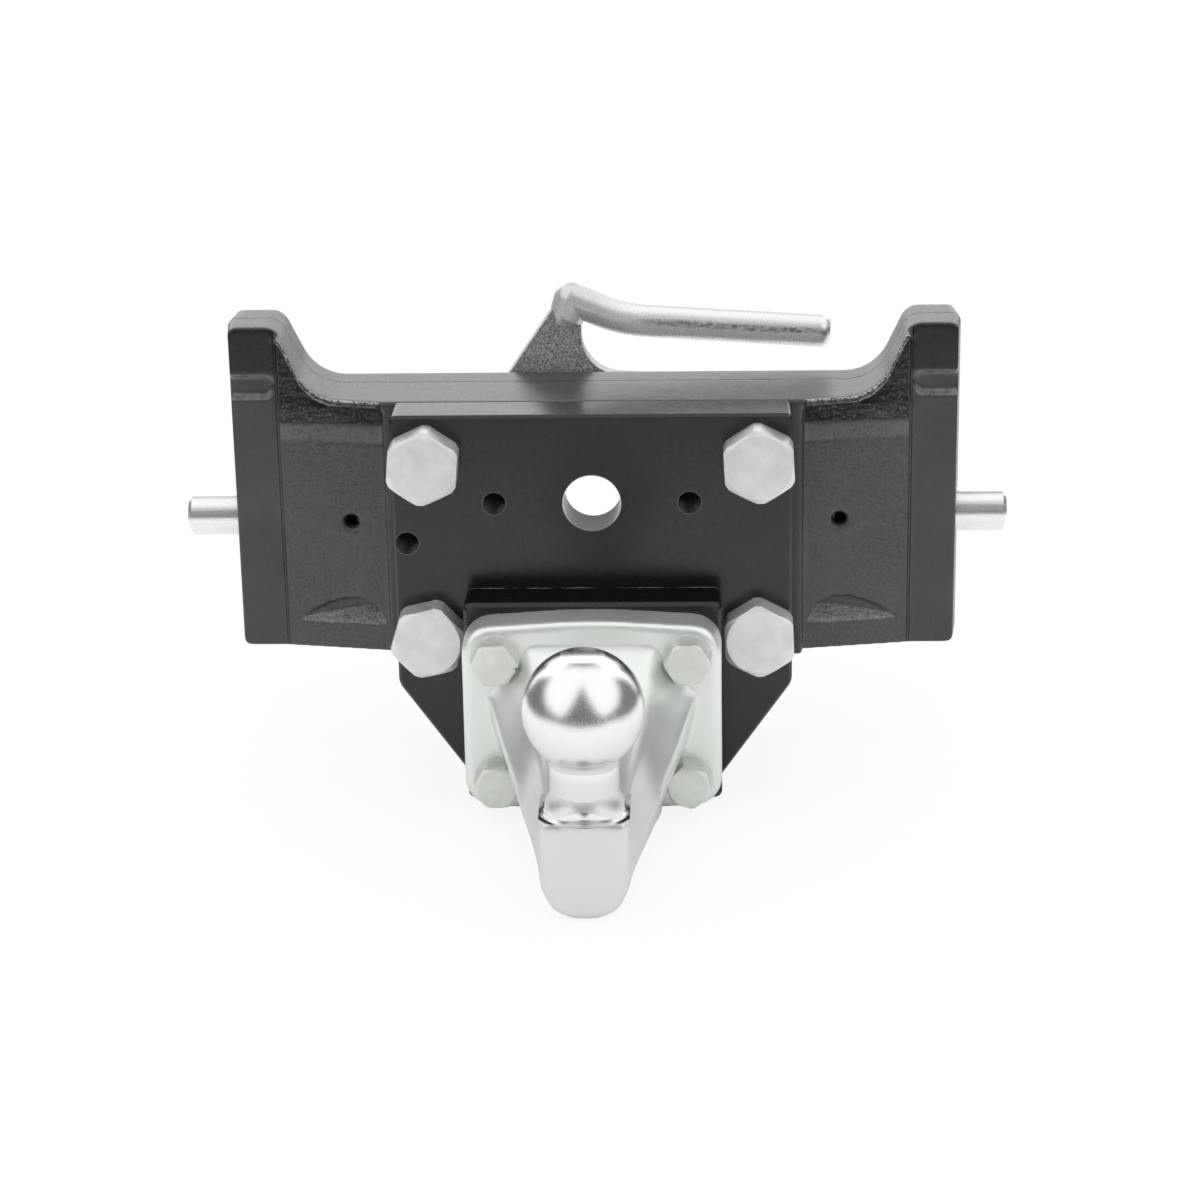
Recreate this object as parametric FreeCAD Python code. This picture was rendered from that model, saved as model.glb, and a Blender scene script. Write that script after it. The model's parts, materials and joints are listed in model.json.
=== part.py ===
import FreeCAD, Part
import math
import os

# Height-adjustable ball hitch: a cast carriage with two sprung locking pins and a hand lever,
# a bolted plate, a spacer block and a forged 50 mm ball bracket. Millimetres.
# +X to the right, +Y away from the ball, +Z up. The origin is the centre of the plate's bore
# on the plate's front face.

V = FreeCAD.Vector

# Mounting plate
plate_thickness = 20.0
plate_half_width = 87.0
plate_top = 40.0
plate_side_foot = -84.0
plate_bottom = -131.0
plate_bottom_half_width = 54.0
plate_corner_radius = 3.0
plate_side_corner_radius = 9.0
plate_edge_bevel = 1.2
bore_radius = 12.5
tapped_radius = 5.1
tapped_spacing = 85.0
low_tapped_x = -81.0
low_tapped_z = -18.0

# Cast carriage
body_half_width = 160.0
body_top = 40.0
body_bottom = -79.0
side_draft = 2.0
ear_top = 70.0
ear_foot_inset = 35.6
ear_shoulder_inset = 21.2
ear_foot_radius = 21.0
ear_shoulder_radius = 8.0
body_corner_radius = 3.5
slide_setback = 15.0
slide_thickness = 32.0
seat_half_width = 92.0
wing_width = 20.5
wing_step = 0.6
boss_recess = 6.5
scoop_recess = 10.5
rim_depth = 3.5
rim_step = 5.5
scoop_foot = 26.0
boss_shoulder = 18.5
lip_top = -66.5
pocket_height = 11.5
pocket_rise = 8.0
pocket_floor = 0.4
pocket_profile = ((0.03, 0.0), (0.08, 0.5), (0.25, 1.0), (0.63, 0.75), (0.98, 0.0))
bore_relief_depth = 15.0
wing_groove_height = 10.0
wing_groove_z = 43.0
wing_groove_depth = 2.5
wing_groove_length = 19.5
wing_groove_overrun = 15.0
grease_hole_radius = 3.4
grease_hole_inset = 51.7
grease_hole_z = -18.0

# Bolts
head_flat_share = 0.95
head_corner_share = 1.1
head_chamfer_angle = 30.0
shank_tip_share = 0.12

# Carriage bolts, M20
main_bolt_spacing_x = 145.0
main_bolt_top_z = 19.5
main_bolt_spacing_z = 80.0
main_shank_radius = 10.0
main_shank_length = 50.0
main_hole_spare_depth = 2.0
main_head_flats = 30.0
main_head_height = 12.5
main_head_turns = (-5.0, 3.0, -17.0, 2.0)

# Spacer block
block_thickness = 20.0
block_half_width = 56.0
block_top = -39.0
block_corner_radius = 3.5
block_edge_bevel = 1.5

# Ball bracket
flange_thickness = 18.5
flange_half_width = 56.0
flange_corner_top = -44.0
flange_crown_top = -40.3
flange_corner_bottom = -127.0
flange_crown_bottom = -129.0
flange_corner_radius = 13.0
flange_crown_radius = 300.0
flange_edge_round = 3.5
ball_radius = 25.0
ball_overhang = 108.0
ball_z = -44.0
ball_flat_radius = 8.4
ball_mark_radius = 1.6
neck_radius = 14.3
neck_foot_radius = 8.0
neck_foot_top = -79.0
head_half_width = 18.5
head_front_reach = 17.0
head_bottom = -130.5
arm_root_overlap = 2.0
arm_root_corners = ((26.0, -50.0), (45.5, -74.0), (37.0, -112.0), (14.0, -122.0))
arm_root_run = 0.3
arm_waist_corners = ((21.5, -75.0), (35.0, -95.0), (28.0, -120.5), (10.0, -127.5))
arm_waist_run = 0.65
arm_head_ridge = (24.0, -111.0)
arm_head_lower = (19.0, -126.0)
arm_head_foot = (7.5, -130.0)
arm_crown_rise = 1.5
head_ridge_z = -116.0
head_lower_corner = (13.5, -126.5)
head_foot_half_width = 6.0
washer_seat_clearance = 1.2

# Flange bolts, M12
flange_bolt_spacing_x = 83.0
flange_bolt_spacing_z = 57.0
flange_bolt_centre_z = -85.4
flange_shank_radius = 6.0
flange_shank_length = 54.0
flange_head_flats = 18.0
flange_head_height = 7.5
flange_head_turns = (-25.0, -28.0, -28.0, 10.0)
washer_outer_radius = 10.6
washer_inner_radius = 6.1
washer_thickness = 2.5
washer_split = 1.2
washer_split_angle = 25.0

# Locking pins and their drive
pin_radius = 10.0
pin_z = -21.0
pin_stand_out = 23.5
pin_nose_radius = 9.75
pin_nose_gap = 0.5
pin_inner_end = 53.0
pin_chamfer = 1.5
pin_travel = 25.0
peg_radius = 5.0
peg_rest_x = 62.5
peg_wall = 3.0
peg_stand_out = 1.2
peg_chamfer = 0.8
chamber_inner_x = 72.0
chamber_end_wall = 38.0
chamber_radius = 14.5
clip_thickness = 1.75
clip_outer_radius = 13.4
clip_groove_radius = 8.8
clip_opening = 40.0
spring_washer_thickness = 1.8
spring_washer_radius = 13.6
spring_mean_radius = 12.2
spring_wire_radius = 1.1
spring_turns = 7

# Lever
hub_bore_radius = 23.0
hub_radius = 28.0
hub_ring_radius = 32.0
thrust_washer_thickness = 4.4
lever_plate_thickness = 8.0
cover_washer_thickness = 2.0
retaining_ring_thickness = 2.0
retaining_ring_radius = 31.0
ring_groove_radius = 26.6
retaining_ring_opening = 30.0
hub_end_stock = 2.2
lever_turn = 45.0
lobe_margin = 7.0
lever_hub_margin = 10.0
lever_shoulder_x = -72.5
lever_shoulder_z = -12.0
lever_shoulder_radius = 10.0
lever_notch_x = -50.0
lever_notch_z = -28.0
lever_flare_foot_z = -1.0
lever_neck_width = 14.6
lever_neck_lean = 29.5
lever_notch_radius = 4.0
lever_flare_x = 30.0
lever_flare_z = 35.5
lever_flare_corner_radius = 12.0
lever_neck_foot_z = 37.4
lever_neck_foot_radius = 18.6
handle_radius = 8.0
handle_start = (-12.6, 63.6)
handle_elbow = (-10.2, 71.6)
handle_bend = (13.2, 62.0)
handle_bend_radius = 60.0
handle_end = (105.4, 55.8)
handle_end_round = 4.5
weld_length = 4.5
weld_toe = 1.0

# Clearances
bolt_clearance = 0.05
clearance_hole = 0.6
running_clearance = 0.05
slot_clearance = 0.15
side_gap = 0.1
press_gap = 0.02

# Places worked out from the sizes above
ear_foot = body_half_width - ear_foot_inset
ear_shoulder = body_half_width - ear_shoulder_inset
wing_inner = body_half_width - wing_width
wing_groove_start = body_half_width - wing_groove_length
wing_groove_end = body_half_width + wing_groove_overrun
chamber_outer_x = body_half_width - chamber_end_wall
grease_hole_x = body_half_width - grease_hole_inset
pin_reach = body_half_width + pin_stand_out
pin_nose_start = body_half_width + side_draft + pin_nose_gap
seat_y = plate_thickness
slide_front_y = seat_y + slide_setback
slide_back_y = slide_front_y + slide_thickness
parting_y = slide_front_y + slide_thickness / 2
pin_y = slide_front_y + slide_thickness / 2
block_front_y = -block_thickness
flange_front_y = block_front_y - flange_thickness
ball_y = block_front_y - ball_overhang
head_front_y = ball_y - head_front_reach
lever_front_y = slide_back_y + thrust_washer_thickness + side_gap
lever_back_y = lever_front_y + lever_plate_thickness
handle_y = lever_front_y + lever_plate_thickness / 2
cover_washer_y = lever_back_y + side_gap
retaining_ring_y = cover_washer_y + cover_washer_thickness + side_gap
hub_end_y = retaining_ring_y + retaining_ring_thickness + hub_end_stock
clip_x = chamber_outer_x - side_gap - clip_thickness
spring_washer_x = clip_x - spring_washer_thickness
main_bolt_places = [
    (side * main_bolt_spacing_x / 2, main_bolt_top_z - row * main_bolt_spacing_z)
    for row in (0, 1)
    for side in (-1, 1)
]
flange_bolt_places = [
    (side * flange_bolt_spacing_x / 2, flange_bolt_centre_z + rise * flange_bolt_spacing_z / 2)
    for rise in (1, -1)
    for side in (-1, 1)
]


def rounded_wire(corners):
    """Closed outline in the XZ plane from (x, z, corner radius) points."""
    edges = []
    ends = []
    count = len(corners)
    for i in range(count):
        x, z, radius = corners[i]
        here = V(x, 0, z)
        before = V(corners[i - 1][0], 0, corners[i - 1][1]) - here
        after = V(corners[(i + 1) % count][0], 0, corners[(i + 1) % count][1]) - here
        before.normalize()
        after.normalize()
        if radius <= 0:
            ends.append((here, here))
            continue
        half = before.getAngle(after) / 2
        reach = radius / math.tan(half)
        start = here + before * reach
        finish = here + after * reach
        middle_direction = before + after
        middle_direction.normalize()
        middle = here + middle_direction * (radius / math.sin(half) - radius)
        edges.append(Part.Arc(start, middle, finish).toShape())
        ends.append((start, finish))
    for i in range(count):
        leave = ends[i][1]
        arrive = ends[(i + 1) % count][0]
        if (arrive - leave).Length > 1e-6:
            edges.append(Part.LineSegment(leave, arrive).toShape())
    return Part.Wire(Part.__sortEdges__(edges))


def slab(corners, y_front, y_back):
    """Solid of a rounded outline between two Y planes."""
    face = Part.Face(rounded_wire(corners))
    solid = face.extrude(V(0, y_back - y_front, 0))
    solid.translate(V(0, y_front, 0))
    return solid


def rod_y(radius, x, z, y_start, y_end):
    return Part.makeCylinder(radius, y_end - y_start, V(x, y_start, z), V(0, 1, 0))


def rod_x(radius, x_start, x_end, y=pin_y, z=pin_z):
    return Part.makeCylinder(radius, x_end - x_start, V(x_start, y, z), V(1, 0, 0))


def ring_y(outer, inner, x, z, y_start, y_end):
    return rod_y(outer, x, z, y_start, y_end).cut(rod_y(inner, x, z, y_start - 1, y_end + 1))


def mirrored(shape):
    """The same shape on the other side of the YZ plane."""
    return shape.mirror(V(0, 0, 0), V(1, 0, 0))


def front_edges(shape, y, tolerance=0.01):
    """Edges of a solid that lie in one Y plane."""
    return [e for e in shape.Edges if abs(e.BoundBox.YMin - y) < tolerance and abs(e.BoundBox.YMax - y) < tolerance]


def hex_bolt(x, z, face_y, flats, head_height, shank_radius, shank_length, turn):
    """Hex head in front of face_y, shank behind it. Corners are trimmed by the usual 30 degree cone."""
    corner = flats / 2 / math.cos(math.radians(30))
    points = []
    for k in range(7):
        angle = math.radians(60 * k + 90 + turn)
        points.append(V(x + corner * math.cos(angle), 0, z + corner * math.sin(angle)))
    head = Part.Face(Part.makePolygon(points)).extrude(V(0, head_height, 0))
    head.translate(V(0, face_y - head_height, 0))
    flat_radius = flats / 2 * head_flat_share
    cone_length = head_height + 1.0
    trim = Part.makeCone(
        flat_radius,
        flat_radius + cone_length / math.tan(math.radians(head_chamfer_angle)),
        cone_length,
        V(x, face_y - head_height, z),
        V(0, 1, 0),
    )
    barrel = rod_y(flats / 2 * head_corner_share, x, z, face_y - head_height, face_y)
    head = head.common(trim).common(barrel)
    tip = shank_radius * shank_tip_share
    shank = rod_y(shank_radius, x, z, face_y - 0.5, face_y + shank_length - tip)
    end = Part.makeCone(shank_radius, shank_radius - tip, tip, V(x, face_y + shank_length - tip, z), V(0, 1, 0))
    return head.fuse([shank, end]).removeSplitter()


def carrier_side():
    """The raised front of the carriage on its +X side: rim, scoop and pin boss."""
    levels = [
        (body_bottom, boss_recess),
        (boss_shoulder, boss_recess),
        (scoop_foot, scoop_recess),
        (body_top - rim_depth, scoop_recess),
    ]
    root_y = slide_front_y + 1.0
    pieces = []
    for (low, low_recess), (high, high_recess) in zip(levels, levels[1:]):
        wires = []
        for z, recess in ((low, low_recess), (high, high_recess)):
            corners = [
                V(seat_half_width, seat_y + recess, z),
                V(wing_inner, slide_front_y - wing_step, z),
                V(wing_inner, root_y, z),
                V(seat_half_width, root_y, z),
            ]
            wires.append(Part.makePolygon(corners + [corners[0]]))
        pieces.append(Part.makeLoft(wires, True, True))
    rim = [
        V(seat_half_width, seat_y, 0),
        V(wing_inner, slide_front_y - rim_step, 0),
        V(wing_inner, root_y, 0),
        V(seat_half_width, root_y, 0),
    ]
    rim_face = Part.Face(Part.makePolygon(rim + [rim[0]]))
    rim_block = rim_face.extrude(V(0, 0, ear_top - body_top))
    rim_block.translate(V(0, 0, body_top - rim_depth))
    profile = slab(carrier_outline(), seat_y - 1.0, root_y + 1.0)
    inside = Part.makeBox(400, 100, rim_depth, V(-200, 0, body_top - rim_depth))
    slope = slab(carrier_outline(-rim_depth), seat_y - 1.0, root_y + 1.0)
    above = Part.makeBox(400, 100, 60, V(-200, 0, body_top - rim_depth))
    strip = rim_block.common(profile).cut(slope.common(above).cut(inside))
    pieces.append(strip)
    return pieces


def carrier_outline(grow=0.0, spread=0.0):
    """Front outline of the carriage; grow moves its upper edge, spread its sides."""
    half = body_half_width + spread
    return [
        (-half, body_bottom, body_corner_radius),
        (half, body_bottom, body_corner_radius),
        (half, ear_top + grow, body_corner_radius),
        (ear_shoulder, ear_top + grow, ear_shoulder_radius),
        (ear_foot, body_top + grow, ear_foot_radius),
        (-ear_foot, body_top + grow, ear_foot_radius),
        (-ear_shoulder, ear_top + grow, ear_shoulder_radius),
        (-half, ear_top + grow, body_corner_radius),
    ]


def drafted_body():
    """The plain carriage behind the raised front, widest at the parting line."""
    wires = []
    for y, spread in ((slide_front_y, 0.0), (parting_y, side_draft), (slide_back_y, 0.0)):
        wire = rounded_wire(carrier_outline(0.0, spread))
        wire.translate(V(0, y, 0))
        wires.append(wire)
    return Part.makeLoft(wires, True, True)


def lip_pocket():
    """Crescent pocket between the +X pin boss and the ledge of the lower lip."""
    floor_y = slide_front_y - pocket_floor
    wires = []
    for x, face_y, rise in (
        (seat_half_width, seat_y + boss_recess, pocket_rise),
        (wing_inner, slide_front_y - wing_step, pocket_floor),
    ):
        corners = [
            V(x, face_y - 1.0, lip_top),
            V(x, floor_y, lip_top + rise),
            V(x, floor_y, lip_top + pocket_height + 1.0),
            V(x, face_y - 1.0, lip_top + pocket_height + 1.0),
        ]
        wires.append(Part.makePolygon(corners + [corners[0]]))
    wedge = Part.makeLoft(wires, True, True)
    width = wing_inner - seat_half_width
    points = [
        V(seat_half_width + across * width, seat_y, lip_top + up * pocket_height)
        for across, up in pocket_profile
    ]
    arch = Part.BSplineCurve()
    arch.interpolate(points)
    outline = Part.Wire([arch.toShape(), Part.LineSegment(points[-1], points[0]).toShape()])
    return wedge.common(Part.Face(outline).extrude(V(0, slide_thickness, 0)))


def spring_chamber():
    """Pocket round the +X pin, open to the back, for its spring."""
    length = chamber_outer_x - chamber_inner_x
    tube = rod_x(chamber_radius, chamber_inner_x, chamber_outer_x)
    window = Part.makeBox(
        length,
        slide_back_y - pin_y + 1.0,
        2 * chamber_radius,
        V(chamber_inner_x, pin_y, pin_z - chamber_radius),
    )
    return tube.fuse(window)


def peg_slot():
    """Slot in the back wall for the +X peg."""
    radius = peg_radius + slot_clearance
    far = rod_y(radius, peg_rest_x + slot_clearance, pin_z, pin_y, slide_back_y + 1.0)
    near_x = peg_rest_x - pin_travel - slot_clearance
    near = rod_y(radius, near_x, pin_z, pin_y, slide_back_y + 1.0)
    middle = Part.makeBox(
        peg_rest_x + slot_clearance - near_x,
        slide_back_y + 1.0 - pin_y,
        2 * radius,
        V(near_x, pin_y, pin_z - radius),
    )
    return far.fuse([near, middle])


def make_carrier_casting():
    body = drafted_body()
    seat = Part.makeBox(
        2 * seat_half_width,
        slide_setback + 1.0,
        body_top - body_bottom,
        V(-seat_half_width, seat_y, body_bottom),
    )
    raised = [seat]
    for piece in carrier_side():
        raised.append(piece)
        raised.append(mirrored(piece))
    body = body.fuse(raised)
    hub = rod_y(hub_radius, 0, pin_z, slide_back_y - 1.0, hub_end_y)
    body = body.fuse(hub).removeSplitter()
    groove_y = retaining_ring_y - side_gap / 2
    groove_end = retaining_ring_y + retaining_ring_thickness + side_gap / 2
    tools = [
        rod_y(hub_bore_radius, 0, pin_z, seat_y - 1.0, hub_end_y + 1.0),
        ring_y(hub_radius + 1.0, ring_groove_radius, 0, pin_z, groove_y, groove_end),
        rod_y(bore_radius + clearance_hole, 0, 0, seat_y - 1.0, seat_y + bore_relief_depth),
        rod_x(pin_radius + running_clearance, -pin_reach, pin_reach),
    ]
    chamber = spring_chamber()
    slot = peg_slot()
    grease = rod_y(grease_hole_radius, grease_hole_x, grease_hole_z, seat_y, pin_y)
    groove_radius = wing_groove_height / 2
    groove_centre = rod_y(
        groove_radius,
        wing_groove_start + groove_radius,
        wing_groove_z,
        slide_front_y - 1.0,
        slide_front_y + wing_groove_depth,
    )
    groove_run = Part.makeBox(
        wing_groove_end - wing_groove_start - groove_radius,
        wing_groove_depth + 1.0,
        wing_groove_height,
        V(wing_groove_start + groove_radius, slide_front_y - 1.0, wing_groove_z - groove_radius),
    )
    for tool in (chamber, slot, grease, groove_centre.fuse(groove_run), lip_pocket()):
        tools.append(tool)
        tools.append(mirrored(tool))
    for x, z in main_bolt_places:
        hole_end = main_shank_length + main_hole_spare_depth
        tools.append(rod_y(main_shank_radius + bolt_clearance, x, z, seat_y - 1.0, hole_end))
    return body.cut(tools)


def make_mounting_plate():
    corners = [
        (-plate_bottom_half_width, plate_bottom, plate_corner_radius),
        (plate_bottom_half_width, plate_bottom, plate_corner_radius),
        (plate_half_width, plate_side_foot, plate_side_corner_radius),
        (plate_half_width, plate_top, plate_corner_radius),
        (-plate_half_width, plate_top, plate_corner_radius),
        (-plate_half_width, plate_side_foot, plate_side_corner_radius),
    ]
    plate = slab(corners, 0.0, plate_thickness)
    plate = plate.makeChamfer(plate_edge_bevel, front_edges(plate, 0.0))
    tools = [rod_y(bore_radius, 0, 0, -1.0, plate_thickness + 1.0)]
    tapped = [(-tapped_spacing / 2, 0.0), (tapped_spacing / 2, 0.0), (low_tapped_x, low_tapped_z)]
    for x, z in tapped:
        tools.append(rod_y(tapped_radius, x, z, -1.0, plate_thickness + 1.0))
    for x, z in main_bolt_places:
        tools.append(rod_y(main_shank_radius + clearance_hole, x, z, -1.0, plate_thickness + 1.0))
    for x, z in flange_bolt_places:
        tools.append(rod_y(flange_shank_radius + bolt_clearance, x, z, -1.0, plate_thickness + 1.0))
    return plate.cut(tools)


def make_spacer_block():
    corners = [
        (-block_half_width, plate_bottom, block_corner_radius),
        (block_half_width, plate_bottom, block_corner_radius),
        (block_half_width, block_top, block_corner_radius),
        (-block_half_width, block_top, block_corner_radius),
    ]
    block = slab(corners, block_front_y, 0.0)
    block = block.makeChamfer(block_edge_bevel, front_edges(block, block_front_y))
    tools = [
        rod_y(flange_shank_radius + clearance_hole, x, z, block_front_y - 1.0, 1.0)
        for x, z in flange_bolt_places
    ]
    return block.cut(tools)


def arm_section(y, crown, ridge, lower, foot):
    """Closed cross-section of the forged arm at one Y, from (half width, z) corners on its +X side."""
    half = [crown, ridge, lower, foot]
    points = [V(x, y, z) for x, z in half]
    points += [V(-x, y, z) for x, z in reversed(half)]
    return Part.makePolygon(points + [points[0]])


def make_ball_bracket():
    half = flange_half_width
    corners = [
        (-half, flange_corner_bottom, flange_corner_radius),
        (0, flange_crown_bottom, flange_crown_radius),
        (half, flange_corner_bottom, flange_corner_radius),
        (half, flange_corner_top, flange_corner_radius),
        (0, flange_crown_top, flange_crown_radius),
        (-half, flange_corner_top, flange_corner_radius),
    ]
    flange = slab(corners, flange_front_y, block_front_y)
    flange = flange.makeFillet(flange_edge_round, front_edges(flange, flange_front_y))
    head = head_half_width
    run = head_front_y - flange_front_y
    crown_z = neck_foot_top - neck_foot_radius
    sections = [
        arm_section(flange_front_y + arm_root_overlap, *arm_root_corners),
        arm_section(flange_front_y + arm_root_run * run, *arm_waist_corners),
        arm_section(
            flange_front_y + arm_waist_run * run,
            (head, crown_z + arm_crown_rise),
            arm_head_ridge,
            arm_head_lower,
            arm_head_foot,
        ),
        arm_section(
            head_front_y,
            (head, crown_z),
            (head, head_ridge_z),
            head_lower_corner,
            (head_foot_half_width, head_bottom),
        ),
    ]
    arm = Part.makeLoft(sections, True, False)
    neck = Part.makeCylinder(neck_radius, ball_z - crown_z + 2.0, V(0, ball_y, crown_z - 2.0))
    foot_outer = neck_radius + neck_foot_radius
    foot_profile = [
        Part.LineSegment(V(0, ball_y, neck_foot_top), V(neck_radius, ball_y, neck_foot_top)).toShape(),
        Part.Arc(
            V(neck_radius, ball_y, neck_foot_top),
            V(
                foot_outer - neck_foot_radius * math.cos(math.radians(45)),
                ball_y,
                neck_foot_top - neck_foot_radius * math.sin(math.radians(45)),
            ),
            V(foot_outer, ball_y, crown_z),
        ).toShape(),
        Part.LineSegment(V(foot_outer, ball_y, crown_z), V(foot_outer, ball_y, crown_z - 2.0)).toShape(),
        Part.LineSegment(V(foot_outer, ball_y, crown_z - 2.0), V(0, ball_y, crown_z - 2.0)).toShape(),
        Part.LineSegment(V(0, ball_y, crown_z - 2.0), V(0, ball_y, neck_foot_top)).toShape(),
    ]
    foot = Part.Face(Part.Wire(foot_profile)).revolve(V(0, ball_y, 0), V(0, 0, 1), 360)
    foot = foot.common(Part.makeBox(2 * head, 60.0, 60.0, V(-head, head_front_y, crown_z - 20.0)))
    flat_height = math.sqrt(ball_radius**2 - ball_flat_radius**2)
    ball = Part.makeSphere(ball_radius, V(0, ball_y, ball_z))
    ball = ball.cut(Part.makeBox(60, 60, 20, V(-30, ball_y - 30, ball_z + flat_height)))
    mark = Part.makeCone(0, ball_mark_radius, ball_mark_radius, V(0, ball_y, ball_z + flat_height - ball_mark_radius))
    bracket = flange.fuse([arm, neck, foot, ball]).cut(mark)
    tools = [
        rod_y(flange_shank_radius + clearance_hole, x, z, flange_front_y - 1.0, block_front_y + 1.0)
        for x, z in flange_bolt_places
    ]
    seat_radius = washer_outer_radius + washer_seat_clearance
    for x, z in flange_bolt_places:
        tools.append(rod_y(seat_radius, x, z, head_front_y, flange_front_y))
    return bracket.cut(tools)


def make_carrier_bolts():
    bolts = []
    for (x, z), turn in zip(main_bolt_places, main_head_turns):
        bolts.append(
            hex_bolt(x, z, 0.0, main_head_flats, main_head_height, main_shank_radius, main_shank_length, turn)
        )
    return Part.makeCompound(bolts)


def make_flange_bolts():
    bolts = []
    head_y = flange_front_y - washer_thickness
    for (x, z), turn in zip(flange_bolt_places, flange_head_turns):
        bolts.append(
            hex_bolt(
                x, z, head_y, flange_head_flats, flange_head_height, flange_shank_radius, flange_shank_length, turn
            )
        )
    return Part.makeCompound(bolts)


def make_spring_washers():
    washers = []
    for x, z in flange_bolt_places:
        washer = ring_y(
            washer_outer_radius, washer_inner_radius, x, z, flange_front_y - washer_thickness, flange_front_y
        )
        split = Part.makeBox(
            2 * washer_outer_radius,
            washer_thickness + 2.0,
            washer_split,
            V(0, flange_front_y - washer_thickness - 1.0, -washer_split / 2),
        )
        split.rotate(V(0, 0, 0), V(0, 1, 0), washer_split_angle)
        split.translate(V(x, 0, z))
        washers.append(washer.cut(split))
    return Part.makeCompound(washers)


def make_locking_pin():
    """The +X pin: guided length, slightly thinner nose, clip groove and cross hole for the peg."""
    guided = rod_x(pin_radius, pin_inner_end, pin_nose_start)
    pin = guided.fuse(rod_x(pin_nose_radius, pin_nose_start - 1.0, pin_reach))
    rings = [e for e in pin.Edges if abs(e.BoundBox.XMin - e.BoundBox.XMax) < 0.01]
    ends = [e for e in rings if min(abs(e.BoundBox.XMin - x) for x in (pin_inner_end, pin_reach)) < 0.01]
    pin = pin.makeChamfer(pin_chamfer, ends)
    groove = rod_x(pin_radius + 1.0, clip_x - press_gap, clip_x + clip_thickness + press_gap)
    groove = groove.cut(rod_x(clip_groove_radius, clip_x - 1.0, clip_x + clip_thickness + 1.0))
    hole = rod_y(peg_radius + press_gap, peg_rest_x, pin_z, peg_blind_end(), pin_y + pin_radius + 1.0)
    return pin.cut([groove, hole])


def peg_blind_end():
    return pin_y - pin_radius + peg_wall


def make_drive_peg():
    end_y = lever_back_y + peg_stand_out
    peg = rod_y(peg_radius, peg_rest_x, pin_z, peg_blind_end(), end_y)
    ends = [e for e in peg.Edges if abs(e.BoundBox.YMin - end_y) < 0.01]
    return peg.makeChamfer(peg_chamfer, ends)


def open_ring_x(outer, inner, x_start, x_end, opening):
    ring = rod_x(outer, x_start, x_end).cut(rod_x(inner, x_start - 1.0, x_end + 1.0))
    half_gap = inner * math.tan(math.radians(opening / 2))
    gap = Part.makeBox(x_end - x_start + 2.0, outer + 1.0, 2 * half_gap, V(x_start - 1.0, pin_y, pin_z - half_gap))
    return ring.cut(gap)


def make_spring_clip():
    return open_ring_x(
        clip_outer_radius, clip_groove_radius + press_gap, clip_x, clip_x + clip_thickness, clip_opening
    )


def make_spring_washer():
    start = spring_washer_x
    washer = rod_x(spring_washer_radius, start, start + spring_washer_thickness)
    return washer.cut(rod_x(pin_radius + running_clearance, start - 1.0, clip_x + 1.0))


def make_pin_spring():
    """Round wire coiled round the +X pin between the chamber wall and the spring washer."""
    start = chamber_inner_x + spring_wire_radius + side_gap
    length = spring_washer_x - side_gap - spring_wire_radius - start
    helix = Part.makeHelix(length / spring_turns, length, spring_mean_radius)
    section = Part.Wire(
        Part.makeCircle(spring_wire_radius, V(spring_mean_radius, 0, 0), V(0, 1, 0))
    )
    coil = Part.Wire(helix).makePipeShell([section], True, True)
    coil.rotate(V(0, 0, 0), V(0, 1, 0), 90)
    coil.translate(V(start, pin_y, pin_z))
    return coil


def spiral_place(turn, sign, offset=0.0):
    """Point of a lever slot's centre line, moved outwards by offset, for a lever turn in degrees."""
    fall = pin_travel / math.radians(lever_turn)
    radius = peg_rest_x - fall * math.radians(turn)
    angle = math.radians(-turn)
    radial = V(math.cos(angle), 0, math.sin(angle))
    along = V(-math.sin(angle), 0, math.cos(angle))
    normal = radial * radius - along * fall
    normal.normalize()
    place = (radial * radius + normal * offset) * sign
    return place + V(0, 0, pin_z)


def spiral_band(half_width, sign, y_start, y_end):
    """Solid band along a lever slot, with round ends."""
    steps = 8
    over = 0.3
    turns = [-over + (lever_turn + 2 * over) * k / steps for k in range(steps + 1)]
    outer = Part.BSplineCurve()
    outer.interpolate([spiral_place(t, sign, half_width) for t in turns])
    inner = Part.BSplineCurve()
    inner.interpolate([spiral_place(t, sign, -half_width) for t in reversed(turns)])
    edges = [outer.toShape()]
    tail = spiral_place(turns[-1], sign)
    head = spiral_place(turns[0], sign)
    tail_out = tail + (tail - spiral_place(turns[-1] - 1.0, sign)).normalize() * half_width
    head_out = head + (head - spiral_place(turns[0] + 1.0, sign)).normalize() * half_width
    edges.append(Part.Arc(spiral_place(turns[-1], sign, half_width), tail_out, inner.StartPoint).toShape())
    edges.append(inner.toShape())
    edges.append(Part.Arc(inner.EndPoint, head_out, outer.StartPoint).toShape())
    band = Part.Face(Part.Wire(edges)).extrude(V(0, y_end - y_start, 0))
    band.translate(V(0, y_start, 0))
    return band


def neck_direction():
    """Direction of the lever plate's neck, up and towards the handle."""
    lean = math.radians(lever_neck_lean)
    return V(math.sin(lean), 0, math.cos(lean))


def rounded_path(corners):
    """Open path through the points of (place, corner radius), with an arc at each inner point."""
    edges = []
    leave = corners[0][0]
    for k in range(1, len(corners) - 1):
        here, radius = corners[k]
        before = (corners[k - 1][0] - here).normalize()
        after = (corners[k + 1][0] - here).normalize()
        half = before.getAngle(after) / 2
        reach = radius / math.tan(half)
        middle = here + (before + after).normalize() * (radius / math.sin(half) - radius)
        edges.append(Part.LineSegment(leave, here + before * reach).toShape())
        edges.append(Part.Arc(here + before * reach, middle, here + after * reach).toShape())
        leave = here + after * reach
    edges.append(Part.LineSegment(leave, corners[-1][0]).toShape())
    return Part.Wire(edges)


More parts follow.
